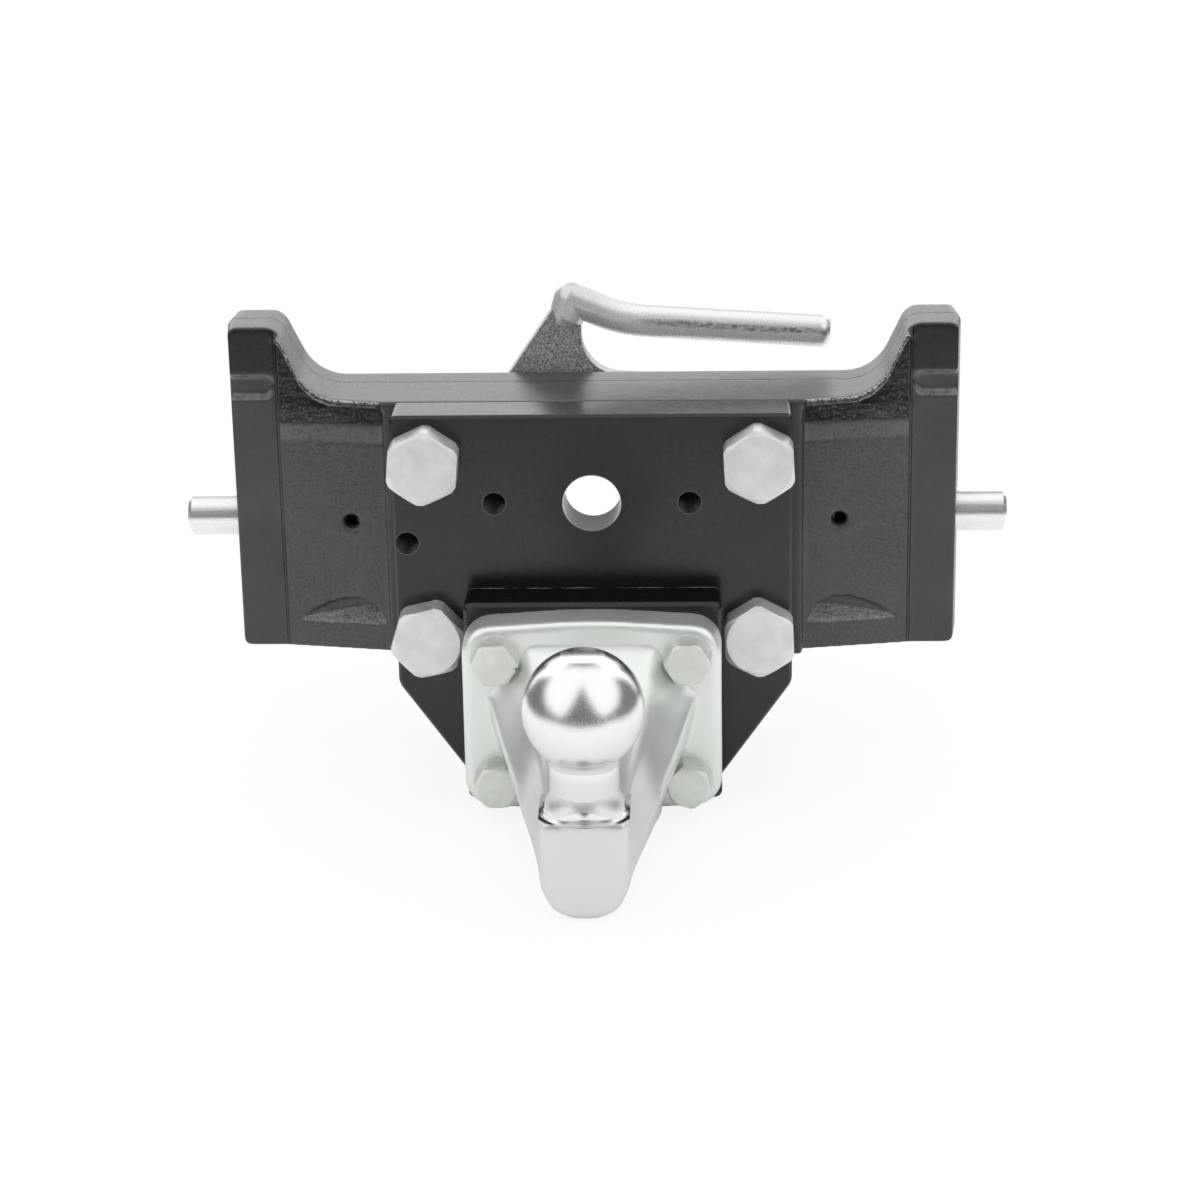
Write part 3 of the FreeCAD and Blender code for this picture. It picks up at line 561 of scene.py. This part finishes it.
def plate_paint(colours, sizes):
    """Glossy black paint on rolled plate, with a bright machined bore and three tapped holes."""
    base = tuple(colours.plate_black)
    finish = Finish("Black plate paint", base, 0.0, 0.22)
    finish.surface.inputs["Specular IOR Level"].default_value = 0.56
    peel = finish.noise(420.0, 2.0, 0.5)
    patches = finish.noise(14.0, 2.0, 0.5)
    turning = finish.noise(260.0, 3.0, 0.6, stretch=(0.3, 9.0, 0.3))
    bore = finish.hole(0.0, 0.0, sizes.bore_radius + HOLE_MARGIN)
    tap_reach = sizes.tap_radius + HOLE_MARGIN
    tap = finish.either(*[finish.hole(x, z, tap_reach) for x, z in TAPPED_HOLES])
    turns = finish.calculate("SINE", finish.both(finish.axis("Y"), 2 * math.pi / THREAD_PITCH))
    paint = finish.blend(finish.rise(patches, 0.3, 0.7), shaded(base, 0.85), shaded(base, 1.2))
    steel = finish.blend(finish.rise(turning, 0.35, 0.65), *TURNED_STEEL)
    low = finish.spread(finish.axis("Z"), *BORE_SHADE, 0.75, 0.0)
    steel = finish.blend(low, steel, SHADED_STEEL)
    gloss = finish.spread(peel, 0.35, 0.65, 0.2, 0.27)
    finish.give(
        Base_Color=finish.blend(bore, finish.blend(tap, paint, THREAD_STEEL), steel),
        Metallic=finish.either(finish.both(bore, 0.6), tap),
        Roughness=finish.either(gloss, finish.both(bore, 0.42)),
    )
    finish.relief(
        (peel, 0.00005, 0.4),
        (finish.both(tap, turns), 0.0008, 1.0),
        (finish.both(bore, turning), 0.0003, 0.7),
    )
    return finish.material


def block_paint(colours):
    """Deep black paint of the spacer block, with a painted glint along its joint with the plate."""
    base = tuple(colours.block_black)
    finish = Finish("Deep black paint", base, 0.0, 0.24)
    peel = finish.noise(380.0, 2.0, 0.5)
    # Painted glint: a speckled light line on the upward faces at the joint with the plate.
    joint_glint = finish.both(
        finish.rise(finish.axis("Y"), *JOINT_GLINT_BAND),
        finish.rise(finish.facing("Z"), 0.5, 0.8),
        finish.spread(finish.noise(260.0, 4.0, 0.7, stretch=(0.3, 1.0, 1.0)), 0.45, 0.6, 0.0, 0.8),
    )
    finish.give(
        Base_Color=finish.blend(joint_glint, base, JOINT_GLINT_TONE),
        Roughness=finish.spread(peel, 0.35, 0.65, 0.2, 0.3),
    )
    finish.relief((peel, 0.00005, 0.5))
    return finish.material


def forging_zinc(colours):
    """Bright zinc on forged steel: soft cloudy variation, fine grain, a faint green cast and
    painted shade on the arm.
    """
    base = tuple(colours.bright_zinc)
    finish = Finish("Zinc on forging", base, 0.7, 0.34)
    clouds = finish.noise(28.0, 3.0, 0.55)
    trimmed_edge = finish.both(
        finish.rise(finish.axis("Y"), TRIMMED_EDGE_FRONT, TRIMMED_EDGE_FRONT + 0.003),
        finish.rise(finish.facing("Z"), 0.55, 0.85),
        finish.rise(finish.noise(900.0, 4.0, 0.7), 0.46, 0.58),
    )
    # Painted shade: the arm is made darker towards its front.
    arm = finish.fall(finish.axis("Y"), ARM_FRONT, ARM_BACK)
    cloudy = finish.rise(clouds, 0.35, 0.65)
    skin = finish.blend(cloudy, tinted(base, FORGING_CAST), shaded(base, 1.02))
    skin = finish.blend(finish.both(arm, 0.8), skin, shaded(base, 0.82))
    skin = finish.blend(finish.both(trimmed_edge, 0.2), skin, shaded(base, 0.5))
    finish.give(Base_Color=skin, Roughness=finish.spread(clouds, 0.3, 0.7, 0.3, 0.42))
    finish.relief(
        (finish.noise(60.0, 2.0, 0.5), 0.0003, 0.5),
        (finish.noise(1400.0, 3.0, 0.6), 0.00005, 0.6),
    )
    return finish.material


def turned_zinc(colours):
    """Turned metal of the ball, its neck darkened by painted shade below the ball, and its brighter
    foot.
    """
    base = tuple(colours.bright_zinc)
    finish = Finish("Turned ball", base, 1.0, 0.2)
    # Painted shade on the neck below the ball.
    neck = finish.fall(finish.axis("Z"), NECK_TOP - 0.004, NECK_TOP)
    foot = finish.spread(finish.axis("Z"), FOOT_LINE - 0.001, FOOT_LINE, 0.4, 1.0)
    rings = finish.noise(260.0, 3.0, 0.5, stretch=(0.05, 0.05, 9.0))
    scuffs = finish.noise(1500.0, 4.0, 0.75)
    finish.give(
        Base_Color=finish.blend(neck, base, shaded(base, 0.86)),
        Roughness=finish.both(finish.spread(scuffs, 0.3, 0.7, 0.15, 0.3), foot),
    )
    finish.relief((rings, 0.00003, 0.4), (scuffs, 0.00006, 0.6))
    return finish.material


def bolt_zinc(name, base):
    """Matte zinc on bolts and washers."""
    finish = Finish(name, base, 0.62, 0.42)
    clouds = finish.noise(90.0, 3.0, 0.6)
    cloudy = finish.rise(clouds, 0.35, 0.65)
    finish.give(
        Base_Color=finish.blend(cloudy, shaded(base, 0.92), shaded(base, 1.1)),
        Roughness=finish.spread(clouds, 0.3, 0.7, 0.36, 0.5),
    )
    finish.relief((finish.noise(2200.0, 3.0, 0.6), 0.00004, 0.6))
    return finish.material


def pin_zinc(colours):
    """Bright drawn bar with fine lines along it, mottled darker on the part in the casting."""
    base = tuple(colours.bright_zinc)
    finish = Finish("Zinc on pins", base, 0.9, 0.26)
    inside = finish.fall(finish.sideways(), DARKENED_TO, DARKENED_TO + 0.004)
    dark_inside_tone = finish.blend(finish.rise(finish.noise(300.0), 0.4, 0.6), *DARK_PIN_TONES)
    lines = finish.noise(500.0, 3.0, 0.6, stretch=(0.04, 2.0, 2.0))
    finish.give(
        Base_Color=finish.blend(inside, base, dark_inside_tone),
        Roughness=finish.spread(lines, 0.3, 0.7, 0.2, 0.34),
    )
    finish.relief((lines, 0.00005, 0.5))
    return finish.material


def handle_zinc(colours):
    """Bright zinc on a drawn bar, with a light grain, painted shade on the elbow, a painted light
    band on the underside and a painted dark reflection along the grip's front.
    """
    base = tuple(colours.bright_zinc)
    finish = Finish("Zinc on handle", base, 0.5, 0.27)
    across = finish.axis("X")
    lines = finish.noise(420.0, 4.0, 0.7, stretch=(0.12, 2.0, 2.0))
    grain = finish.noise(1600.0, 3.0, 0.7)
    flecks = finish.noise(700.0, 3.0, 0.7, stretch=(0.5, 1.0, 1.0))
    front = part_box("handle_bar")[0].y
    grip_axis = finish.calculate("MULTIPLY_ADD", across, GRIP_SLOPE, GRIP_HEIGHT)
    above_axis = finish.calculate("SUBTRACT", finish.axis("Z"), grip_axis)
    # Painted reflection: a flecked dark band along the grip's front.
    dark_reflection = finish.both(
        finish.between(above_axis, REFLECTION_LOW, REFLECTION_HIGH, 0.0007),
        finish.rise(across, *REFLECTION_START),
        finish.fall(finish.axis("Y"), front + 0.003, front + 0.005),
        finish.spread(flecks, 0.36, 0.6, 0.3, 1.0),
    )
    # Painted shade darkens the elbow.
    elbow_shade = finish.fall(across, *ELBOW)
    # Painted reflection: a light band along the bar's underside.
    underside_light = finish.fall(above_axis, *UNDERSIDE)
    skin = finish.blend(elbow_shade, finish.blend(underside_light, base, shaded(base, 1.2)), shaded(base, 0.78))
    skin = finish.blend(finish.both(dark_reflection, 0.9), skin, DARK_REFLECTION)
    finish.give(Base_Color=skin, Roughness=finish.spread(grain, 0.3, 0.7, 0.25, 0.31))
    finish.relief((grain, 0.000006, 0.3), (lines, 0.00001, 0.3))
    return finish.material


def galvanised_steel(colours):
    """Grained grey galvanised plate with sparkling specks."""
    base = tuple(colours.galvanised)
    finish = Finish("Galvanised plate", base, 0.75, 0.45)
    specks = finish.noise(1700.0, 2.0, 0.7)
    sparkle = finish.rise(specks, 0.4, 0.62)
    finish.give(
        Base_Color=finish.blend(sparkle, shaded(base, 0.5), shaded(base, 1.7)),
        Roughness=finish.spread(specks, 0.35, 0.65, 0.4, 0.6),
    )
    finish.relief((specks, 0.00012, 0.7))
    return finish.material


def plain_steel(colours):
    """Plain steel of rings, washers and springs."""
    finish = Finish("Plain steel", tuple(colours.plain_steel), 1.0, 0.36)
    grain = finish.noise(900.0, 3.0, 0.6)
    finish.give(Roughness=finish.spread(grain, 0.3, 0.7, 0.3, 0.45))
    finish.relief((grain, 0.00005, 0.5))
    return finish.material


# Mesh helpers

def dress(piece, material):
    """Gives a new piece its material."""
    piece.data.materials.append(material)


def dress_node(name, material):
    """Puts a material on every slot of a carried-over node."""
    for slot in frame["nodes"][name].material_slots:
        slot.material = material


def as_object(shape, name="solid"):
    """Makes an object of a bmesh, which is used up."""
    mesh = bpy.data.meshes.new(name)
    shape.to_mesh(mesh)
    shape.free()
    made = bpy.data.objects.new(name, mesh)
    bpy.context.scene.collection.objects.link(made)
    return made


def new_piece(name, shape, material, slot, body, *nodes):
    """Makes an object from a bmesh, hangs it on a body and lets it stand for the named nodes."""
    piece = as_object(shape, name)
    dress(piece, material)
    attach(piece, body)
    if nodes:
        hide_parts(*nodes)
    return piece


def smooth_faces(shape, angle):
    """Smooth shading with sharp edges above an angle in degrees."""
    for face in shape.faces:
        face.smooth = True
    for edge in shape.edges:
        if len(edge.link_faces) == 2:
            edge.smooth = edge.calc_face_angle(0.0) < math.radians(angle)


def merged_copy(node):
    """A bmesh of a node's mesh with its doubled corners joined."""
    shape = bmesh.new()
    shape.from_mesh(frame["nodes"][node].data)
    bmesh.ops.remove_doubles(shape, verts=shape.verts, dist=SAME_PLACE)
    return shape


def modified(*solids):
    """The shape of the first of some objects after its modifiers; the objects are removed."""
    shape = bmesh.new()
    shape.from_object(solids[0], bpy.context.evaluated_depsgraph_get())
    for solid in solids:
        bpy.data.objects.remove(solid)
    return shape


def remeshed(shape, voxel, cutter=None):
    """The same solid as an even mesh of small faces, less what a cutter takes away."""
    solids = [as_object(source) for source in (shape, cutter) if source is not None]
    if cutter is not None:
        cut = solids[0].modifiers.new("cut", "BOOLEAN")
        cut.operation = "DIFFERENCE"
        cut.solver = "EXACT"
        cut.object = solids[1]
    remesh = solids[0].modifiers.new("even", "REMESH")
    remesh.mode = "VOXEL"
    remesh.voxel_size = voxel
    remesh.use_smooth_shade = True
    return modified(*solids)


def soften(shape, passes, chosen=None):
    """Smooths the chosen vertices, or all, a number of times."""
    verts = [v for v in shape.verts if chosen is None or chosen(v.co)]
    for _ in range(passes):
        bmesh.ops.smooth_vert(
            shape, verts=verts, factor=0.5, use_axis_x=True, use_axis_y=True, use_axis_z=True
        )


def thinned(shape, most):
    """The same shape in at most so many triangles, with the fewest where it is flat."""
    triangles = sum(len(face.verts) - 2 for face in shape.faces)
    solid = as_object(shape)
    thin = solid.modifiers.new("thin", "DECIMATE")
    thin.decimate_type = "COLLAPSE"
    thin.ratio = min(1.0, most / triangles)
    return modified(solid)


def turned(points, centre):
    """A surface turned about a vertical axis through centre, from (radius, height) points."""
    shape = bmesh.new()
    verts = [shape.verts.new(centre + Vector((radius, 0.0, height))) for radius, height in points]
    edges = [shape.edges.new(pair) for pair in zip(verts, verts[1:])]
    bmesh.ops.spin(
        shape, geom=verts + edges, cent=centre, axis=(0.0, 0.0, 1.0), angle=2 * math.pi,
        steps=ROUND_STEPS, use_merge=True,
    )
    bmesh.ops.remove_doubles(shape, verts=shape.verts, dist=SAME_PLACE)
    bmesh.ops.recalc_face_normals(shape, faces=shape.faces)
    return shape


def arc_points(centre_radius, centre_height, radius, start, end, steps):
    """Points of an arc in the (radius, height) plane, angles in degrees."""
    points = []
    for k in range(steps + 1):
        angle = math.radians(start + (end - start) * k / steps)
        reach, rise = radius * math.cos(angle), radius * math.sin(angle)
        points.append((centre_radius + reach, centre_height + rise))
    return points


# Operators, one for each piece or group of like pieces

class HITCH_OT_casting(bpy.types.Operator):
    """Softens the casting's edges and paints it"""

    bl_idname = "hitch.casting"
    bl_label = "Casting"

    def execute(self, context):
        sizes = context.scene.hitch_sizes
        cutter = self.ear_cutter(sizes.ear_recess)
        shape = remeshed(merged_copy("carrier_casting"), sizes.casting_voxel, cutter)
        soften(shape, CASTING_PASSES)
        shape = thinned(shape, MOST_TRIANGLES)
        smooth_faces(shape, 180.0)
        paint = cast_paint(context.scene.hitch_colours)
        new_piece("carrier_cast_skin", shape, paint, "casting_paint", "carrier", "carrier_casting")
        return {"FINISHED"}

    def ear_cutter(self, recess):
        """The rough hollow on the inner front of each ear, under the rim that climbs up it."""
        outline = [(EAR_RIM_CENTRE[0], EAR_HOLLOW_FOOT)]
        outline += arc_points(*EAR_RIM_CENTRE, EAR_RIM_RADIUS, *EAR_RIM_ARC, EAR_RIM_STEPS)
        outline += EAR_HOLLOW_TIP + [(EAR_HOLLOW_TIP[-1][0], EAR_HOLLOW_FOOT)]
        cutter = bmesh.new()
        for side in (-1.0, 1.0):
            corners = [cutter.verts.new((side * x, EAR_CUT_FRONT, z)) for x, z in outline]
            face = cutter.faces.new(corners)
            moved = bmesh.ops.extrude_face_region(cutter, geom=[face], use_keep_orig=True)["geom"]
            verts = [item for item in moved if isinstance(item, bmesh.types.BMVert)]
            depth = EAR_FACE + recess - EAR_CUT_FRONT
            bmesh.ops.translate(cutter, verts=verts, vec=(0.0, depth, 0.0))
        bmesh.ops.recalc_face_normals(cutter, faces=cutter.faces)
        return cutter


class HITCH_OT_plates(bpy.types.Operator):
    """Paints the mounting plate and the spacer block"""

    bl_idname = "hitch.plates"
    bl_label = "Plate and block"

    def execute(self, context):
        colours = context.scene.hitch_colours
        dress_node("mounting_plate", plate_paint(colours, context.scene.hitch_sizes))
        dress_node("spacer_block", block_paint(colours))
        return {"FINISHED"}


class HITCH_OT_forging(bpy.types.Operator):
    """Models the forged bracket and the turned ball, neck and foot"""

    bl_idname = "hitch.forging"
    bl_label = "Ball forging"

    def execute(self, context):
        sizes = context.scene.hitch_sizes
        colours = context.scene.hitch_colours
        shape = remeshed(merged_copy("ball_bracket"), sizes.forging_voxel)
        soften(shape, FORGING_PASSES)
        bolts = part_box("flange_bolts")
        flange_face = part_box("spacer_block")[0].y - FLANGE_THICKNESS
        soften(
            shape,
            FLANGE_PASSES,
            lambda place: place.y < flange_face and self.clear_of(bolts, place),
        )
        smooth_faces(shape, 180.0)
        zinc = forging_zinc(colours)
        new_piece("bracket_forging", shape, zinc, "bracket_zinc", "carrier", "ball_bracket")
        self.make_ball(sizes, colours)
        return {"FINISHED"}

    def clear_of(self, bolts, place):
        """Whether a place is well away from the bolt heads on the flange."""
        low, high = bolts
        width = 2 * BOLT_HEAD_REACH
        beside = abs(place.x) > high.x - width
        return not (beside and (place.z > high.z - width or place.z < low.z + width))

    def make_ball(self, sizes, colours):
        """Turns the ball, neck and foot in one, and cuts the foot to the width of the arm."""
        centre = Vector((0.0, -sizes.ball_reach, 0.0))
        flat_height = sizes.ball_height + math.sqrt(sizes.ball_radius**2 - sizes.flat_radius**2)
        flat_angle = math.degrees(math.acos(sizes.flat_radius / sizes.ball_radius))
        neck_angle = -math.degrees(math.acos(sizes.neck_radius / sizes.ball_radius))
        foot_bottom = sizes.foot_top - sizes.foot_radius
        points = [(0.0, flat_height)]
        points += arc_points(
            0.0, sizes.ball_height, sizes.ball_radius, flat_angle, neck_angle, BALL_STEPS
        )
        points += arc_points(
            sizes.neck_radius + sizes.foot_radius, sizes.foot_top, sizes.foot_radius, 180.0, 270.0,
            FOOT_STEPS,
        )
        points.append((0.0, foot_bottom))
        shape = turned(points, centre)
        for side in (-1.0, 1.0):
            foot = [vert for vert in shape.verts if vert.co.z < sizes.foot_top - 0.0002]
            edges = [edge for edge in shape.edges if all(vert in foot for vert in edge.verts)]
            faces = [face for face in shape.faces if all(vert in foot for vert in face.verts)]
            bmesh.ops.bisect_plane(
                shape,
                geom=foot + edges + faces,
                plane_co=(side * sizes.foot_half_width, 0.0, 0.0),
                plane_no=(side, 0.0, 0.0),
                clear_outer=True,
            )
        open_edges = [edge for edge in shape.edges if edge.is_boundary]
        bmesh.ops.holes_fill(shape, edges=open_edges, sides=0)
        smooth_faces(shape, 25.0)
        new_piece("ball_and_neck", shape, turned_zinc(colours), "bracket_zinc", "carrier")


class HITCH_OT_bolts(bpy.types.Operator):
    """Plates the bolts and split washers"""

    bl_idname = "hitch.bolts"
    bl_label = "Bolts and washers"

    def execute(self, context):
        base = tuple(context.scene.hitch_colours.matte_zinc)
        dress_node("carrier_bolts", bolt_zinc("Zinc on large bolts", base))
        small = bolt_zinc("Zinc on flange bolts", tinted(base, BOLT_CAST))
        dress_node("flange_bolts", small)
        dress_node("spring_washers", small)
        return {"FINISHED"}


class HITCH_OT_lever(bpy.types.Operator):
    """Finishes the lever plate, the handle and its weld"""

    bl_idname = "hitch.lever"
    bl_label = "Lever"

    def execute(self, context):
        colours = context.scene.hitch_colours
        dress_node("lever_plate", galvanised_steel(colours))
        handle = handle_zinc(colours)
        dress_node("handle_bar", handle)
        dress_node("handle_weld", handle)
        return {"FINISHED"}


class HITCH_OT_pins(bpy.types.Operator):
    """Finishes the locking pins with their pegs, rings and coiled springs"""

    bl_idname = "hitch.pins"
    bl_label = "Locking pins and springs"

    def execute(self, context):
        colours = context.scene.hitch_colours
        bright = pin_zinc(colours)
        steel = plain_steel(colours)
        for name in ("hub_thrust_washer", "hub_cover_washer", "hub_retaining_ring"):
            dress_node(name, steel)
        for side, direction in (("left", -1.0), ("right", 1.0)):
            dress_node(side + "_locking_pin", bright)
            dress_node(side + "_drive_peg", bright)
            dress_node(side + "_spring_clip", steel)
            dress_node(side + "_spring_washer", steel)
            self.coil(context.scene.hitch_sizes, side, direction, steel)
        return {"FINISHED"}

    def coil(self, sizes, side, direction, steel):
        """A spring coiled from its fixed end, direction -1 or 1."""
        low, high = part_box(side + "_pin_spring")
        axis_y = (low.y + high.y) / 2
        axis_z = (low.z + high.z) / 2
        start_x = low.x + sizes.wire_radius if direction > 0 else high.x - sizes.wire_radius
        run = high.x - low.x - 2 * sizes.wire_radius
        shape = bmesh.new()
        ring = bmesh.ops.create_circle(
            shape, cap_ends=False, segments=WIRE_SIDES, radius=sizes.wire_radius
        )["verts"]
        for letter in "YZ":
            quarter = Matrix.Rotation(math.pi / 2, 3, letter)
            bmesh.ops.rotate(shape, verts=ring, cent=(0, 0, 0), matrix=quarter)
        bmesh.ops.translate(shape, verts=ring, vec=(start_x, axis_y, axis_z + sizes.spring_radius))
        steps = STEPS_PER_TURN * sizes.spring_turns
        bmesh.ops.spin(
            shape,
            geom=ring + shape.edges[:],
            cent=(start_x, axis_y, axis_z),
            axis=(1.0, 0.0, 0.0),
            dvec=(direction * run / steps, 0.0, 0.0),
            angle=2 * math.pi * sizes.spring_turns,
            steps=steps,
        )
        bmesh.ops.holes_fill(shape, edges=shape.edges[:], sides=WIRE_SIDES)
        bmesh.ops.recalc_face_normals(shape, faces=shape.faces)
        smooth_faces(shape, 60.0)
        piece = new_piece(
            side + "_coil_spring", shape, steel, "spring_steel", "carrier", side + "_pin_spring"
        )
        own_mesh(piece)

    def travel(self, slide):
        """How far a joint slides, in metres."""
        ranges = {joint["name"]: joint.get("range_m") for joint in frame["joints"]}
        return ranges[slide][1]


class HITCH_OT_studio(bpy.types.Operator):
    """Sets the floor, the room that gives the light, and the camera"""

    bl_idname = "hitch.studio"
    bl_label = "Studio"

    def execute(self, context):
        settings = context.scene.hitch_studio
        self.make_floor(settings)
        self.make_room(context, settings)
        self.make_camera(context, settings)
        context.scene.view_settings.view_transform = "Standard"
        return {"FINISHED"}

    def make_floor(self, settings):
        shape = bmesh.new()
        bmesh.ops.create_grid(shape, x_segments=1, y_segments=1, size=8.0)
        bmesh.ops.translate(shape, verts=shape.verts, vec=(0.0, 0.0, settings.floor_height))
        floor = as_object(shape, "floor")
        dress(floor, self.floor_paint(settings))

    def floor_paint(self, settings):
        """White to the camera but for the shadow; to bright metal a white table in a dim room."""
        finish = Finish("White floor", (0.97, 0.97, 0.97, 1.0), 0.0, 0.9)
        finish.surface.inputs["Specular IOR Level"].default_value = 0.0
        path = finish.add("ShaderNodeLightPath")
        reach = finish.either(finish.sideways(), finish.both(finish.axis("Y"), -1.0))
        beyond = finish.rise(reach, settings.table_reach - 0.05, settings.table_reach + 0.1)
        to_camera = finish.both(path.outputs["Is Camera Ray"], FLOOR_GLOW)
        shown = finish.mixed(to_camera, finish.surface.outputs["BSDF"], finish.emission(1.0))
        to_metal = finish.both(path.outputs["Is Glossy Ray"], beyond)
        seen = finish.mixed(to_metal, shown, finish.emission(settings.room_light))
        finish.join(seen, finish.tree.nodes["Material Output"].inputs["Surface"])
        return finish.material

    def make_room(self, context, settings):
        """White to the camera; to the object a soft dome in front and a lit wall behind."""
        world = bpy.data.worlds.new("Studio room")
        context.scene.world = world
        world.use_nodes = True
        room = Nodes(world.node_tree, "Generated")
        path = room.add("ShaderNodeLightPath")
        across, away, height = room.sideways(), room.axis("Y"), room.axis("Z")
        side, back, up = DOME_TOWARDS
        towards = room.calculate("MULTIPLY_ADD", away, back, room.both(across, side))
        dome = room.rise(room.calculate("MULTIPLY_ADD", height, up, towards), *DOME_EDGE)
        wall = room.both(
            room.fall(across, *WALL_SIDE),
            room.rise(away, *WALL_FRONT),
            room.fall(height, *WALL_TOP),
        )
        # A dark stand in the middle of the dome, which only bright metal shows.
        stand = room.both(
            room.fall(room.calculate("MULTIPLY_ADD", height, STAND_LEAN, across), *STAND_SIDE),
            room.fall(away, *STAND_BACK),
            path.outputs["Is Glossy Ray"],
        )
        light = settings.room_light
        for part, brightness in (
            (room.both(dome, room.calculate("SUBTRACT", 1.0, stand)), settings.dome_light),
            (wall, settings.back_light),
        ):
            light = room.calculate("MULTIPLY_ADD", part, brightness - settings.room_light, light)
        strength = room.add("ShaderNodeMix", data_type="FLOAT")
        unseen, seen = MIX_NUMBER_INPUTS
        room.join(path.outputs["Is Camera Ray"], strength.inputs[MIX_FACTOR])
        room.join(light, strength.inputs[unseen])
        strength.inputs[seen].default_value = 1.0
        background = room.tree.nodes["Background"]
        background.inputs["Color"].default_value = (1.0, 1.0, 1.0, 1.0)
        room.join(strength.outputs[MIX_NUMBER_OUTPUT], background.inputs["Strength"])

    def make_camera(self, context, settings):
        """A camera in its place, turned by azimuth, elevation and roll."""
        azimuth, elevation, roll = settings.azimuth, settings.elevation, settings.roll
        forward = Vector(
            (
                -math.sin(azimuth) * math.cos(elevation),
                math.cos(azimuth) * math.cos(elevation),
                -math.sin(elevation),
            )
        )
        level = Vector((math.cos(azimuth), math.sin(azimuth), 0.0))
        upright = level.cross(forward)
        right = level * math.cos(roll) + upright * math.sin(roll)
        up = upright * math.cos(roll) - level * math.sin(roll)
        lens = bpy.data.cameras.new("camera")
        lens.lens = lens.sensor_width * settings.focal_share
        lens.clip_end = 50.0
        holder = bpy.data.objects.new("camera", lens)
        context.scene.collection.objects.link(holder)
        turn = Matrix((right, up, -forward)).transposed().to_4x4()
        holder.matrix_world = Matrix.Translation(settings.camera_place) @ turn
        context.scene.camera = holder


class HITCH_PT_panel(bpy.types.Panel):
    """Lists the steps that dress the hitch"""

    bl_idname = "HITCH_PT_panel"
    bl_label = "Ball Hitch"
    bl_space_type = "VIEW_3D"
    bl_region_type = "UI"
    bl_category = "Ball Hitch"

    def draw(self, context):
        for step in STEPS:
            self.layout.operator(step.bl_idname)


STEPS = (
    HITCH_OT_casting,
    HITCH_OT_plates,
    HITCH_OT_forging,
    HITCH_OT_bolts,
    HITCH_OT_lever,
    HITCH_OT_pins,
    HITCH_OT_studio,
)
CLASSES = (ForgingSizes, FinishColours, StudioSettings) + STEPS + (HITCH_PT_panel,)


def register():
    for cls in CLASSES:
        bpy.utils.register_class(cls)
    bpy.types.Scene.hitch_sizes = bpy.props.PointerProperty(type=ForgingSizes)
    bpy.types.Scene.hitch_colours = bpy.props.PointerProperty(type=FinishColours)
    bpy.types.Scene.hitch_studio = bpy.props.PointerProperty(type=StudioSettings)


def unregister():
    del bpy.types.Scene.hitch_studio
    del bpy.types.Scene.hitch_colours
    del bpy.types.Scene.hitch_sizes
    for cls in reversed(CLASSES):
        bpy.utils.unregister_class(cls)


def main():
    register()
    bpy.ops.hitch.casting()
    bpy.ops.hitch.plates()
    bpy.ops.hitch.forging()
    bpy.ops.hitch.bolts()
    bpy.ops.hitch.lever()
    bpy.ops.hitch.pins()
    bpy.ops.hitch.studio()


if __name__ == "__main__":
    main()
